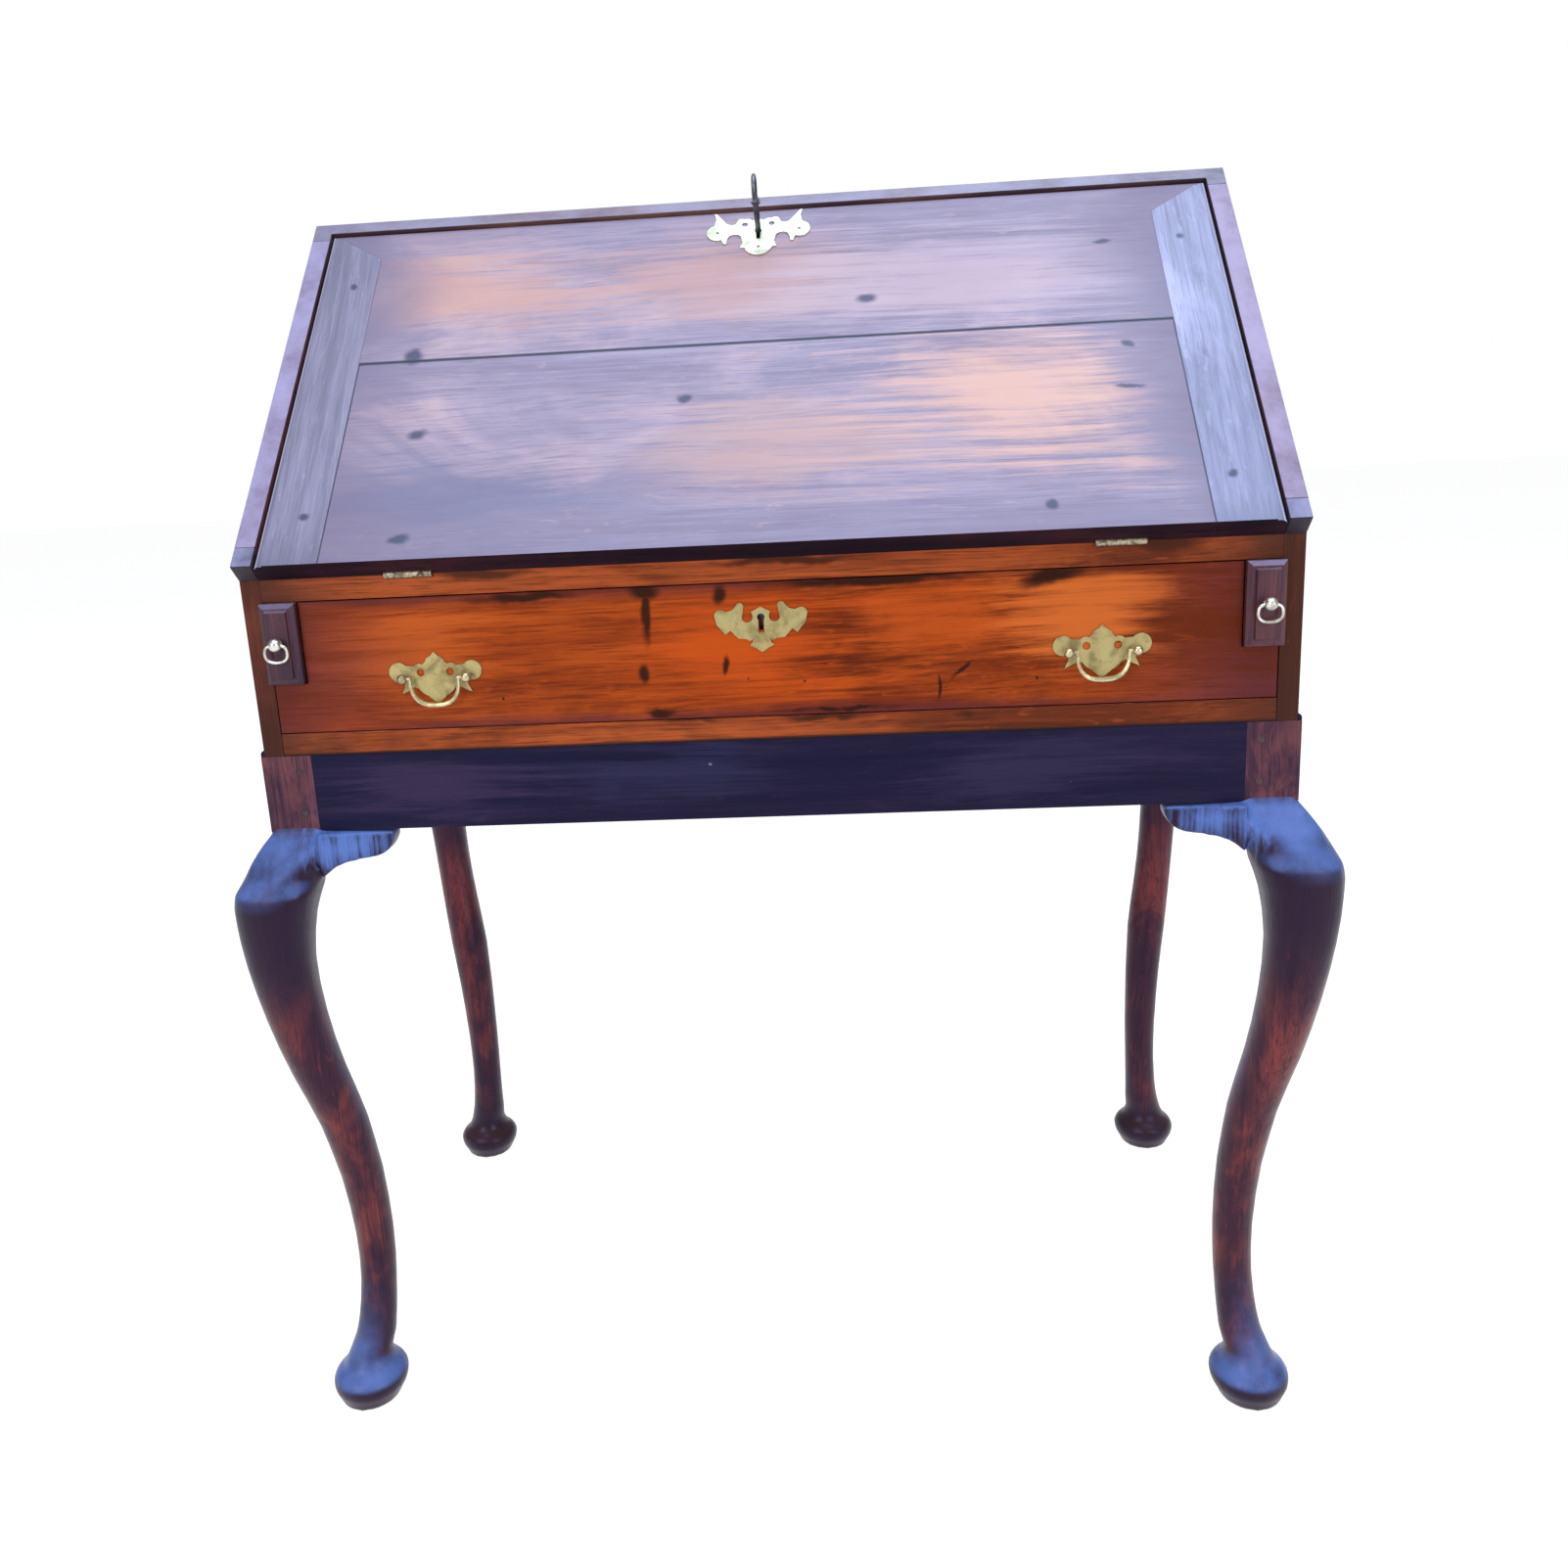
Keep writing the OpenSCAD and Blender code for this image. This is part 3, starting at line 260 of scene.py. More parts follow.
# places on the rail's face: across, up from its lower edge, then what the finish asks for
# bluish patches on the rail's face: partly rubbed wax, partly painted blue sheen
rubbed_sheen_spots = ((-0.270, 0.03, 0.10, 0.04, 0.6, rgb(0.040, 0.024, 0.048)),
          (-0.060, 0.04, 0.14, 0.03, 0.5, rgb(0.026, 0.024, 0.060)),
          (0.190, 0.03, 0.12, 0.03, 0.5, rgb(0.030, 0.024, 0.052)))
specks = ((-0.045, 0.045, 0.002, 0.0012, 0), (-0.120, 0.028, 0.0016, 0.001, 0),
          (0.080, 0.050, 0.0022, 0.001, 0), (0.230, 0.020, 0.0016, 0.001, 0))
rail_across = oak("rail_oak_across", stand_dark, stand_middle, stand_warm, "X", seed=1.3,
                  fades_and_sheens=[(x, rail_low.y, rail_low.z + up, *rest) for x, up, *rest in rubbed_sheen_spots],
                  marks=[(x, rail_low.y, rail_low.z + up, *rest) for x, up, *rest in specks],
                  mark_colour=rgb(0.16, 0.15, 0.22),
                  warm_share=0.15, shine=1.45, tint=stand_tint, rough=0.45, figure=0.12)
rail_back = oak("rail_oak_deep", stand_dark, stand_middle, stand_warm, "Y", seed=4.1,
                warm_share=0.2, shine=1.45, tint=stand_tint, rough=0.45, figure=0.12)
for node, finish in (("stand_front_rail", rail_across), ("stand_back_rail", rail_across),
                     ("stand_side_rails", rail_back), ("stand_side_beads", rail_back)):
    ease(fit(copy_of(node), node + "_wood", "desk_frame", "stand_oak", finish, node), 0.0012)

# ---- Legs ----
# Cabriole legs sawn from the solid: a square post above, a full knee, a slim ankle and a pad
# foot. Shaped ears are glued beside each knee and faired into it. Stained dark, rubbed red.
knee_top = rail_low.z
into_post = 0.006
ear_reach = 0.12


def cut(bm, z, keep_above):
    """Saws a closed mesh level at z and closes the cut."""
    parts = bmesh.ops.bisect_plane(bm, geom=bm.verts[:] + bm.edges[:] + bm.faces[:],
                                   plane_co=(0, 0, z), plane_no=(0, 0, 1),
                                   clear_inner=keep_above, clear_outer=not keep_above)
    edges = [e for e in parts["geom_cut"] if isinstance(e, bmesh.types.BMEdge)]
    bmesh.ops.holes_fill(bm, edges=[e for e in edges if e.is_valid], sides=0)
    bmesh.ops.recalc_face_normals(bm, faces=bm.faces)


def add_near(bm, other, centre, reach):
    """Adds to a mesh what stands within reach of a point, seen from above."""
    far = [v for v in other.verts if (v.co.xy - centre).length > reach]
    bmesh.ops.delete(other, geom=far, context="VERTS")
    mesh = bpy.data.meshes.new("near")
    other.to_mesh(mesh)
    other.free()
    bm.from_mesh(mesh)
    bpy.data.meshes.remove(mesh)


ear_x = rail_high.x - 0.045
# painted blue sheen on the front of each ear beside the front knees
ear_sheen = [(knee_top - 0.012, rail_low.y - 0.010, side * ear_x, 0.026, 0.055, 1.0,
         rgb(0.080, 0.150, 0.420)) for side in (-1, 1)]
# upward faces take a painted sheen: blue on the front legs, a dull red on the back legs
leg_finish, back_leg_finish = [
    oak(name, rgb(0.010, 0.003, 0.005), rgb(0.050, 0.010, 0.009), rgb(0.180, 0.034, 0.016), "Z",
        seed=2.2, warm_share=0.55, warm_size=9.0, borders=(("X", 0.03, 0.44, 0.10),),
        border_colour=rgb(0.016, 0.007, 0.013), shine=1.5, tint=(0.40, 0.34, 0.70), rough=0.33,
        grime=0.6, painted_sheen=sheen_paint, sheen_spots=lit)
    for name, sheen_paint, lit in (("leg_oak", rgb(0.090, 0.155, 0.410), ear_sheen),
                            ("back_leg_oak", rgb(0.045, 0.022, 0.026), ()))]
post_finish = oak("post_oak", rgb(0.012, 0.005, 0.007), rgb(0.060, 0.020, 0.024),
                  rgb(0.150, 0.046, 0.036), "Z", seed=5.2, warm_share=0.5, warm_size=14.0,
                  shine=1.45, tint=(0.4, 0.4, 0.9), rough=0.42)
for side in ("front_left", "front_right", "back_left", "back_right"):
    node = "leg_" + side
    post = copy_of(node)
    cut(post, knee_top, True)
    centre = sum((v.co for v in post.verts), Vector()) / len(post.verts)
    ease(fit(post, side + "_post", "desk_frame", "stand_oak", post_finish, node), 0.0014)
    shaft = copy_of(node)
    cut(shaft, knee_top + into_post, False)
    add_near(shaft, copy_of("knee_brackets"), centre.xy, ear_reach)
    leg = fit(shaft, side + "_leg", "desk_frame", "stand_oak",
              leg_finish if "front" in side else back_leg_finish, node, "knee_brackets")
    fair = leg.modifiers.new("faired", "REMESH")
    fair.mode = "VOXEL"
    fair.voxel_size = 0.0022
    fair.use_smooth_shade = True
    rub = leg.modifiers.new("rubbed_sheen_spots", "SMOOTH")
    rub.factor = 0.5
    rub.iterations = 9

# ---- Pegs and glue blocks ----
# Cleft oak pegs driven through posts and tenons, and rubbed blocks glued in the stand's corners.
# They took the stain unevenly and were never waxed.
fixings = oak("peg_oak", rgb(0.02, 0.01, 0.008), rgb(0.06, 0.03, 0.02), rgb(0.10, 0.05, 0.03), "Y",
              seed=7.7, shine=1.5, tint=(0.5, 0.6, 1.0), rough=0.5)
ease(fit(copy_of("stand_pegs"), "peg_heads", "desk_frame", "stand_oak", fixings, "stand_pegs"),
     0.0004)
ease(fit(copy_of("stand_glue_blocks"), "glue_blocks", "desk_frame", "stand_oak", fixings,
         "stand_glue_blocks"), 0.001)

# ---- Case boards ----
# Two sides, the top, the bottom and the strips above and below the drawer, in stained and
# French-polished oak. Dust and handling have darkened them at every edge and corner.
case_dark = rgb(0.016, 0.004, 0.005)
case_tint = (0.9, 0.40, 0.22)
case_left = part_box("case_left_side")[0].x
case_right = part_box("case_right_side")[1].x
front_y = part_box("case_bottom_rail")[0].y
case_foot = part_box("case_bottom_rail")[0].z
case_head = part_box("case_top")[1].z
bed_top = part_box("bed_front_rail")[1].z
# its slanted front edges, which face up, take a painted lavender sheen
side_oak = oak("side_oak", case_dark, rgb(0.055, 0.014, 0.015), rgb(0.130, 0.030, 0.021), "Z",
               seed=3.3, warm_share=0.4, tint=case_tint, rough=0.33,
               borders=(("X", case_foot, case_head, 0.08),), border_colour=rgb(0.035, 0.012, 0.014),
               painted_sheen=rgb(0.270, 0.265, 0.450))
for node in ("case_left_side", "case_right_side"):
    ease(fit(copy_of(node), node + "_wood", "desk_frame", "case_oak", side_oak, node), 0.0005)
# its upward faces take a painted bluish sheen
nose_oak = oak("nose_oak", rgb(0.008, 0.004, 0.006), rgb(0.030, 0.012, 0.012),
               rgb(0.07, 0.025, 0.02), "Y", seed=8.8, warm_share=0.3, tint=(0.5, 0.6, 1.0),
               shine=1.4, rough=0.4, painted_sheen=rgb(0.230, 0.235, 0.380))
ease(fit(copy_of("nose_pieces"), "nose_wood", "desk_frame", "case_oak", nose_oak, "nose_pieces"),
     0.0009)
# its upward faces and bevel take a painted lavender sheen
top_oak = oak("top_oak", rgb(0.030, 0.014, 0.016), rgb(0.110, 0.055, 0.050),
              rgb(0.240, 0.110, 0.070), "X", seed=6.4, warm_share=0.5, tint=(0.6, 0.72, 1.0),
              shine=1.6, rough=0.36, coat=0.2,
              borders=(("X", case_left, case_right, 0.07),), border_colour=rgb(0.05, 0.025, 0.03),
              painted_sheen=rgb(0.220, 0.195, 0.290))
ease(fit(copy_of("case_top"), "top_board", "desk_frame", "case_oak", top_oak, "case_top"), 0.0005)
strip_oak = oak("strip_oak", rgb(0.026, 0.004, 0.003), rgb(0.170, 0.026, 0.007),
                rgb(0.360, 0.072, 0.018), "X", seed=2.9, warm_share=0.75, tint=case_tint,
                rough=0.36, borders=(("X", case_left, case_right, 0.10),),
                border_colour=rgb(0.050, 0.015, 0.014),
                marks=((-0.060, front_y, case_foot + 0.017, 0.030, 0.004, 0),
                       (0.045, front_y, case_foot + 0.016, 0.045, 0.005, 0),
                       (0.150, front_y, case_foot + 0.015, 0.012, 0.004, 0),
                       (0.020, front_y, bed_top - 0.002, 0.075, 0.005, 0),
                       (-0.210, front_y, bed_top - 0.003, 0.050, 0.006, 0),
                       (0.300, front_y, bed_top - 0.004, 0.030, 0.008, 0)),
                # a near-black line along the foot of the bottom rail: painted shadow where the case sits on the
                # stand
                rims=(("Z", case_foot + 0.0012, 2.0, 0.0016, rgb(0.006, 0.003, 0.005)),))
for node in ("case_bottom_rail", "bed_front_rail"):
    ease(fit(copy_of(node), node + "_wood", "desk_frame", "case_oak", strip_oak, node), 0.0008)

# ---- Inside of the case ----
# Thin dry oak that was never polished: the bottom, the writing bed, the back boards, the runners
# and housings of the lopers, and the shelf and partitions behind the fall.
inner_dark = rgb(0.090, 0.045, 0.022)
inner_middle = rgb(0.260, 0.150, 0.075)
inner_warm = rgb(0.400, 0.250, 0.130)
slope = 46  # degrees, how steeply the closed fall and its stops lie
for along, nodes in (("X", ("case_bottom", "writing_bed", "back_boards", "interior_shelf",
                            "drawer_stops", "drawer_back", "drawer_bottom",
                            "small_drawer_front")),
                     ("Y", ("loper_housings", "drawer_left_side", "drawer_right_side",
                            "small_drawer_box")),
                     ("Z", ("interior_dividers",)),
                     ((0, -slope, 90), ("fall_stops",))):
    dry = oak("dry_oak_" + (along if isinstance(along, str) else "slope"), inner_dark,
              inner_middle, inner_warm, along, seed=ord(str(along)[0]) * 0.1,
              shine=1.4, rough=0.62, grime=0.35, contrast=0.8)
    for node in nodes:
        body = next(b for b, held in frame["record"]["behaviour"]["bodies"].items()
                    if node in held)
        ease(fit(copy_of(node), node + "_wood", body, "inner_oak", dry, node), 0.0007)

# ---- Drawer front ----
# One wide figured board, dovetailed to its sides. The polish is bright in the middle and goes
# dark towards the ends; old ink and splits have stained it.
low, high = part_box("drawer_front")
drawer_z = (low.z + high.z) / 2
front_oak = oak("drawer_front_oak", rgb(0.070, 0.008, 0.002), rgb(0.190, 0.023, 0.003),
                rgb(0.340, 0.055, 0.006), "X", at=(0, low.y, drawer_z), seed=0.6,
                warm_share=0.7, warm_size=4.0, tint=case_tint, shine=1.4, rough=0.36,
                figure=0.5, grime=0.3,
                borders=(("X", low.x + 0.005, high.x - 0.005, 0.15),
                         ("Z", low.z - drawer_z - 0.004, high.z - drawer_z + 0.004, 0.016)),
                border_colour=rgb(0.080, 0.015, 0.026), mark_colour=rgb(0.004, 0.001, 0.002),
                fades_and_sheens=((-0.270, 0, 0.005, 0.09, 0.06, 0.8, rgb(0.43, 0.080, 0.012)),
                       (-0.020, 0, 0.000, 0.12, 0.06, 0.9, rgb(0.44, 0.060, 0.005)),
                       (0.130, 0, 0.010, 0.10, 0.05, 0.8, rgb(0.43, 0.066, 0.007)),
                       (0.240, 0, 0.012, 0.08, 0.06, 0.9, rgb(0.50, 0.110, 0.020))),
                marks=((-0.087, 0, 0.030, 0.005, 0.030, 0), (-0.088, 0, 0.048, 0.016, 0.010, 0),
                       (-0.091, 0, -0.014, 0.005, 0.010, 0), (-0.030, 0, 0.044, 0.008, 0.010, 0),
                       (-0.028, 0, -0.010, 0.0035, 0.011, 8), (-0.080, 0, -0.045, 0.016, 0.005, 0),
                       (0.148, 0, -0.024, 0.020, 0.0020, -38),
                       (0.132, 0, -0.034, 0.0020, 0.012, 0), (0.060, 0, -0.047, 0.060, 0.003, 0),
                       (-0.180, 0, 0.047, 0.060, 0.005, 0), (0.080, 0, 0.049, 0.120, 0.006, 0),
                       (0.215, 0, 0.045, 0.035, 0.009, -12), (0.030, 0, -0.026, 0.0018, 0.0018, 0),
                       (-0.010, 0, -0.020, 0.0016, 0.0016, 0), (0.205, 0, -0.028, 0.002, 0.002, 0),
                       (-0.200, 0, -0.030, 0.0018, 0.0018, 0)))
ease(fit(copy_of("drawer_front"), "drawer_front_board", "drawer", "case_oak", front_oak,
         "drawer_front"), 0.0011)

# ---- Fall ----
# Two wide boards with a cleat across each end, mitred at the top corners, and a thumb-moulded
# edge. It is faded and rubbed, and its polish throws back the light from overhead. Part of that
# lavender sheen is painted into its colours, and its lower edge is painted dark as shade.
hinge = next(j for j in frame["joints"] if j["name"] == "fall_hinge")
pin = Vector(hinge["pos_m"])
fall_face = 0.017
fall_long = (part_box("fall_left_cleat")[1].z - pin.z) / math.sin(math.radians(slope))
fall_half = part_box("fall_right_cleat")[1].x
board_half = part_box("fall_lower_board")[1].x
# places on the fall's outer face: across, up the slope, then what the finish asks for
knots = ((-0.057, 0.149, 0.009, 0.0075, 0), (0.285, 0.300, 0.012, 0.004, 0),
         (0.290, 0.182, 0.008, 0.005, 0), (0.288, 0.137, 0.020, 0.003, -12),
         (0.215, 0.022, 0.007, 0.008, 0), (-0.270, 0.125, 0.012, 0.007, 0),
         (-0.270, 0.020, 0.010, 0.006, 0), (-0.285, 0.212, 0.012, 0.012, 0),
         (0.090, 0.250, 0.012, 0.008, 0))
# warm and bluish patches on the fall: partly faded polish, partly painted sheen and light
faded_and_sheen_spots = ((-0.250, 0.290, 0.15, 0.070, 0.80, rgb(0.480, 0.255, 0.195)),
               (-0.030, 0.290, 0.16, 0.060, 0.70, rgb(0.450, 0.245, 0.200)),
               (0.030, 0.105, 0.20, 0.070, 0.75, rgb(0.450, 0.265, 0.215)),
               (0.200, 0.135, 0.17, 0.085, 1.00, rgb(0.560, 0.330, 0.260)),
               (0.180, 0.270, 0.16, 0.080, 0.85, rgb(0.400, 0.300, 0.350)),
               (-0.240, 0.070, 0.18, 0.090, 0.80, rgb(0.130, 0.115, 0.200)))
fall_marks = [(x, up, fall_face, *rest) for x, up, *rest in knots]
fall_fades_and_sheens = [(x, up, fall_face, *rest) for x, up, *rest in faded_and_sheen_spots]
joint_dark = rgb(0.016, 0.010, 0.016)


def up_slope(point):
    """How far a point lies up the slope from the hinge pins."""
    return ((point.y - pin.y) * math.cos(math.radians(slope))
            + (point.z - pin.z) * math.sin(math.radians(slope)))


crack_s = max(up_slope(v.co) for v in frame["nodes"]["fall_lower_board"].data.vertices)
# near-black finish for the lower edge, which faces down: painted shade
edge_shade_oak = oak("fall_edge_painted_shade", rgb(0.004, 0.002, 0.004), rgb(0.014, 0.005, 0.009),
                rgb(0.040, 0.010, 0.012), "X", seed=5.9, tint=(0.4, 0.3, 0.6), shine=1.25,
                rough=0.5, figure=0.1)


def end_in_dark(piece):
    """Gives the faces that look down the slope, along the hinges, a near-black finish: painted shade on the lower
    edge.
    """
    piece.data.materials.append(edge_shade_oak)
    down = Vector((0, -math.cos(math.radians(slope)), -math.sin(math.radians(slope))))
    for face in piece.data.polygons:
        if face.normal.dot(down) > 0.5:
            face.material_index = 1
    return piece


cleat_joint = ("X", 0.0008 - board_half, board_half - 0.0008, 0.0010, joint_dark)
for part, seed, joints in (
        ("lower", 1.1, (("Y", -1.0, crack_s - 0.0010, 0.0012, joint_dark), cleat_joint)),
        ("upper", 9.2, (("Y", crack_s + 0.0012, 1.0, 0.0012, joint_dark),))):
    node = "fall_%s_board" % part
    # the lavender in these colours is partly painted sky sheen, laid over faded oak
    finish = oak("fall_oak_" + part, rgb(0.175, 0.130, 0.190), rgb(0.290, 0.240, 0.335),
                 rgb(0.440, 0.300, 0.310), (slope, 0, 0), at=(0, pin.y, pin.z), seed=seed,
                 warm_share=0.38, warm_size=4.0, shine=1.6, tint=(0.50, 0.68, 1.0),
                 rough=0.40, coat=0.05, figure=0.3, grime=0.22, fades_and_sheens=fall_fades_and_sheens, rims=joints,
                 borders=(("X", -board_half - 0.03, board_half + 0.03, 0.12),
                          ("Y", -0.04, fall_long + 0.02, 0.07)),
                 border_colour=rgb(0.140, 0.110, 0.185), mark_colour=rgb(0.035, 0.028, 0.060),
                 marks=fall_marks)
    end_in_dark(ease(fit(copy_of(node), node + "_wood", "fall", "fall_oak", finish, node),
                     0.0006))
for side, sign in (("left", 1), ("right", -1)):
    node = "fall_%s_cleat" % side
    outer = sign * (fall_half - 0.0024)
    # painted highlight along the moulded outer edge of each cleat
    painted_highlight_edge = ("Y", min(outer, -sign), max(outer, -sign), 0.0014, rgb(0.500, 0.550, 0.740))
    # the right cleat is painted lighter and bluer than the left: painted sheen over faded oak
    wear_and_sheen = (0.24, 0.21, 0.31) if side == "left" else (0.30, 0.30, 0.47)
    finish = oak("cleat_oak_" + side, rgb(*[0.5 * c for c in wear_and_sheen]), rgb(*wear_and_sheen),
                 rgb(*[1.3 * c for c in wear_and_sheen]), (0, -slope, 90), at=(0, pin.y, pin.z),
                 seed=3.7 - sign, warm_share=0.35, shine=1.6, tint=(0.48, 0.68, 1.0),
                 rough=0.38, coat=0.05, grime=0.25, rims=(painted_highlight_edge,),
                 borders=(("X", -0.03, fall_long + 0.02, 0.06),),
                 border_colour=rgb(0.105, 0.088, 0.150), mark_colour=rgb(0.030, 0.024, 0.050),
                 marks=((0.045, sign * 0.348, fall_face, 0.006, 0.006, 0),
                        (0.300, sign * 0.350, fall_face, 0.005, 0.005, 0)))
    end_in_dark(ease(fit(copy_of(node), node + "_wood", "fall", "fall_oak", finish, node),
                     0.0006))

# ---- Lopers ----
# Oak bars that slide out to carry the open fall, each with a raised and fielded block on its
# front end and a brass ring pull hung from a turned ball.
# the block's upward faces take a painted lavender sheen
loper_oak = oak("loper_oak", rgb(0.020, 0.007, 0.010), rgb(0.075, 0.022, 0.020),
                rgb(0.160, 0.045, 0.030), "Z", seed=4.8, warm_share=0.4, tint=(0.6, 0.6, 1.0),
                shine=1.5, rough=0.36, painted_sheen=rgb(0.20, 0.17, 0.28))
bar_oak = oak("loper_bar_oak", rgb(0.10, 0.05, 0.03), rgb(0.24, 0.13, 0.07),
              rgb(0.36, 0.21, 0.12), "Y", seed=1.9, shine=1.4, rough=0.6)
for side in ("left", "right"):
    body = side + "_loper"
    ease(fit(copy_of("loper_" + side), "loper_bar_" + side, body, "case_oak", bar_oak,
             "loper_" + side), 0.001)
    ease(fit(copy_of("loper_%s_block" % side), "loper_block_" + side, body, "case_oak",
             loper_oak, "loper_%s_block" % side), 0.0006)

# ---- Brass fittings ----
# Sheet brass back plates and escutcheons, sawn and pierced, with filed edges; cast and turned
# posts, wire bails and rings. Old polish has dulled in the hollows.


def metal(name, bright, dull, rough, spots=60.0):
    """Old metal: bright where it is rubbed, dull in patches, with fine scratches."""
    f = Finish(name)
    here = f.place()
    patch = f.noise(here, spots, 5.0, 0.65, 0.4)
    fine = f.noise(f.stretch(here, (900.0, 160.0, 420.0)), 1.0, 2.0)
    colour = f.lay(f.between(patch, 0.42, 0.66), bright, dull)
    roughness = f.sum("ADD", f.between(patch, 0.35, 0.7, rough, rough + 0.22),
                      f.sum("MULTIPLY", fine, 0.08))
    height = f.sum("ADD", f.sum("MULTIPLY", fine, 0.3), patch)
    return f.set(Base_Color=colour, Roughness=roughness, Metallic=1.0,
                 Normal=f.add("Bump", {"Strength": 0.25, "Distance": 0.0004, "Height": height}))


plate_brass = metal("plate_brass", rgb(0.44, 0.37, 0.17), rgb(0.27, 0.22, 0.10), 0.40)
pale_brass = metal("pale_brass", rgb(0.80, 0.84, 0.66), rgb(0.46, 0.50, 0.36), 0.34)
wire_brass = metal("wire_brass", rgb(0.60, 0.54, 0.34), rgb(0.30, 0.25, 0.13), 0.26)
silvered = metal("silvered_brass", rgb(0.72, 0.72, 0.66), rgb(0.34, 0.33, 0.28), 0.24)
hinge_brass = metal("hinge_brass", rgb(0.44, 0.38, 0.27), rgb(0.08, 0.06, 0.05), 0.42,
                    spots=220.0)
dark_steel = metal("dark_steel", rgb(0.16, 0.17, 0.20), rgb(0.05, 0.05, 0.06), 0.30)
for node, body, finish, width in (
        ("drawer_escutcheon", "drawer", plate_brass, 0.00045),
        ("handle_plates", "drawer", plate_brass, 0.00045),
        ("fall_escutcheon", "fall", pale_brass, 0.00045),
        ("handle_posts", "drawer", wire_brass, 0.0002),
        ("loper_left_post", "left_loper", silvered, 0.0002),
        ("loper_right_post", "right_loper", silvered, 0.0002),
        ("hinge_bed_leaves", "desk_frame", hinge_brass, 0.0002),
        ("hinge_fall_leaves", "fall", hinge_brass, 0.0002)):
    ease(fit(copy_of(node), node + "_metal", body, "brass", finish, node), width, angle=35)


def wire(points, radius, sides=14):
    """A closed ring of round wire along these points."""
    bm = bmesh.new()
    hoops = []
    for i, point in enumerate(points):
        after = points[(i + 1) % len(points)]
        lean = (after - points[i - 1]).to_track_quat("Z", "X").to_matrix().to_4x4()
        made = bmesh.ops.create_circle(bm, segments=sides, radius=radius,
                                       matrix=Matrix.Translation(point) @ lean)
        hoops.append(list({e for v in made["verts"] for e in v.link_edges}))
    for i, hoop in enumerate(hoops):
        bmesh.ops.bridge_loops(bm, edges=hoops[i - 1] + hoop)
    bmesh.ops.recalc_face_normals(bm, faces=bm.faces)
    return bm


ring_steps = 40
for side in ("left", "right"):
    node = "loper_%s_ring" % side
    low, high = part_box(node)
    mid = (low + high) / 2
    thick = (high.y - low.y) / 2
    reach = (high.x - low.x) / 2 - thick
    path = []
    for k in range(ring_steps):
        # a ring pressed into a D, flat on top where it hangs from the ball
        angle = 2 * math.pi * k / ring_steps
        x, z = math.cos(angle), math.sin(angle)
        x = math.copysign(abs(x) ** 0.8, x)
        z = math.copysign(abs(z) ** (0.62 if z > 0 else 0.9), z)
        path.append(mid + Vector((x, 0, 1 - 0.76 * (1 - z))) * reach)
    fit(wire(path, thick * 0.98), node + "_wire", side + "_pull_ring", "brass", silvered, node)

# the smallest fittings are the frame's own pieces and only take their metal here
for finish, nodes in ((wire_brass, ("hinge_pins", "hinge_bed_screws", "hinge_fall_screws",
                                    "fall_lock_bolt", "drawer_lock_bolt", "left_bail",
                                    "right_bail")),
                      (dark_steel, ("fall_lock_case", "drawer_lock_case", "key"))):
    for node in nodes:
        metals = frame["nodes"][node].data.materials
        metals.clear()
        metals.append(finish)

# ---- Studio ----
# A plain pale floor under soft lamps: a wide one overhead, one behind and two at the front.
floor_half = 14
bm = bmesh.new()
bmesh.ops.create_grid(bm, x_segments=1, y_segments=1, size=floor_half)
mesh = bpy.data.meshes.new("studio_floor")
bm.to_mesh(mesh)
bm.free()
floor = bpy.data.objects.new("studio_floor", mesh)
scene.collection.objects.link(floor)
plain = Finish("studio_floor")
mesh.materials.append(plain.set(Base_Color=rgb(0.30, 0.30, 0.30), Roughness=0.9,
                                Specular_IOR_Level=0.0, Emission_Color=rgb(1.0, 1.0, 1.0),
                                Emission_Strength=0.90))


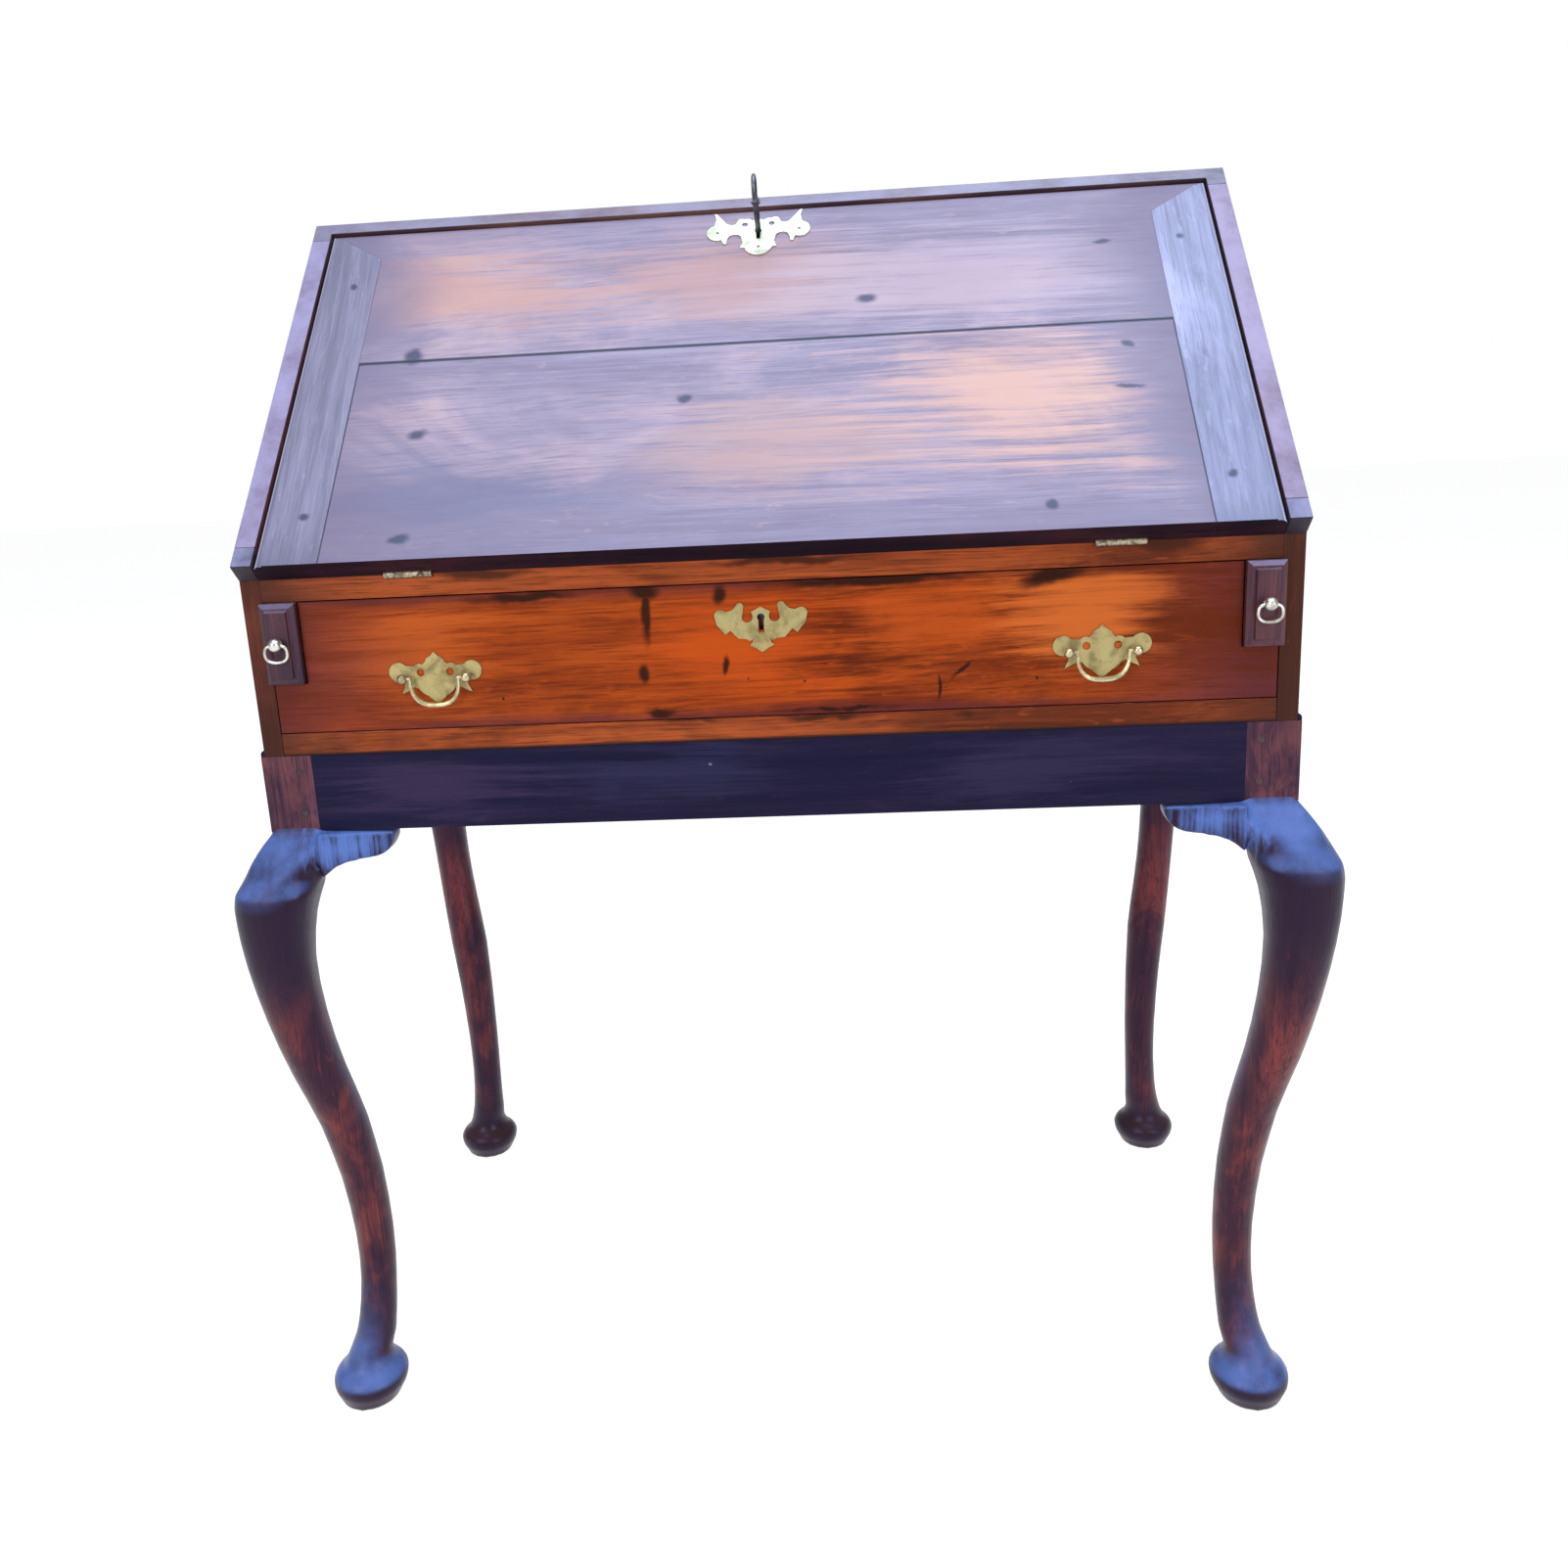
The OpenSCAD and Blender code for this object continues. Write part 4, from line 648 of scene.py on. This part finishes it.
def lamp(name, at, aim, width, height, power, colour):
    light = bpy.data.lights.new(name, "AREA")
    light.shape = "RECTANGLE"
    light.size, light.size_y = width, height
    light.energy = power
    light.color = colour
    stand = bpy.data.objects.new(name, light)
    scene.collection.objects.link(stand)
    stand.location = at
    stand.rotation_euler = (Vector(aim) - Vector(at)).to_track_quat("-Z", "Y").to_euler()


lamp("overhead", (0.25, -0.75, 3.6), (0, -0.2, 0.9), 3.4, 3.0, 120, (0.78, 0.87, 1.0))
lamp("behind", (0, 3.2, 2.9), (0, 0, 0.5), 4.5, 2.4, 50, (0.70, 0.82, 1.0))
lamp("front_left", (-2.0, -3.4, 1.9), (0, 0, 0.55), 1.8, 1.8, 60, (1.0, 0.96, 0.90))
lamp("front_right", (2.3, -3.0, 1.4), (0, 0, 0.5), 1.6, 1.6, 38, (1.0, 0.97, 0.93))

world = bpy.data.worlds.new("studio")
world.use_nodes = True
scene.world = world
tree = world.node_tree
background = tree.nodes["Background"]
seen = tree.nodes.new("ShaderNodeLightPath")
level = tree.nodes.new("ShaderNodeMix")
level.data_type = "RGBA"
level.inputs[6].default_value = rgb(0.26, 0.27, 0.30)
level.inputs[7].default_value = rgb(1.0, 1.0, 1.0)
tree.links.new(seen.outputs["Is Camera Ray"], level.inputs[0])
tree.links.new(level.outputs[2], background.inputs["Color"])
scene.view_settings.view_transform = "Standard"

# ---- Camera ----
# Close in front of the desk, level with the middle of the fall. It is turned a little left,
# tipped down and rolled slightly.
yaw, pitch, roll = (math.radians(a) for a in (-4.19, -13.88, -3.03))
eye = Vector((0.0667, rail_low.y - 0.9916, 0.8246))
forward = Vector((math.sin(yaw) * math.cos(pitch), math.cos(yaw) * math.cos(pitch),
                  math.sin(pitch)))
level_right = Vector((math.cos(yaw), -math.sin(yaw), 0))
level_up = level_right.cross(forward)
right = math.cos(roll) * level_right + math.sin(roll) * level_up
up = -math.sin(roll) * level_right + math.cos(roll) * level_up
camera = bpy.data.objects.new("camera", bpy.data.cameras.new("camera"))
scene.collection.objects.link(camera)
turn = Matrix((right, up, -forward)).transposed().to_4x4()
camera.matrix_world = Matrix.Translation(eye) @ turn
camera.data.sensor_width = 36
camera.data.lens = 30.61
camera.data.shift_x = 0.0154
camera.data.shift_y = -0.0226
camera.data.clip_end = 60
scene.camera = camera
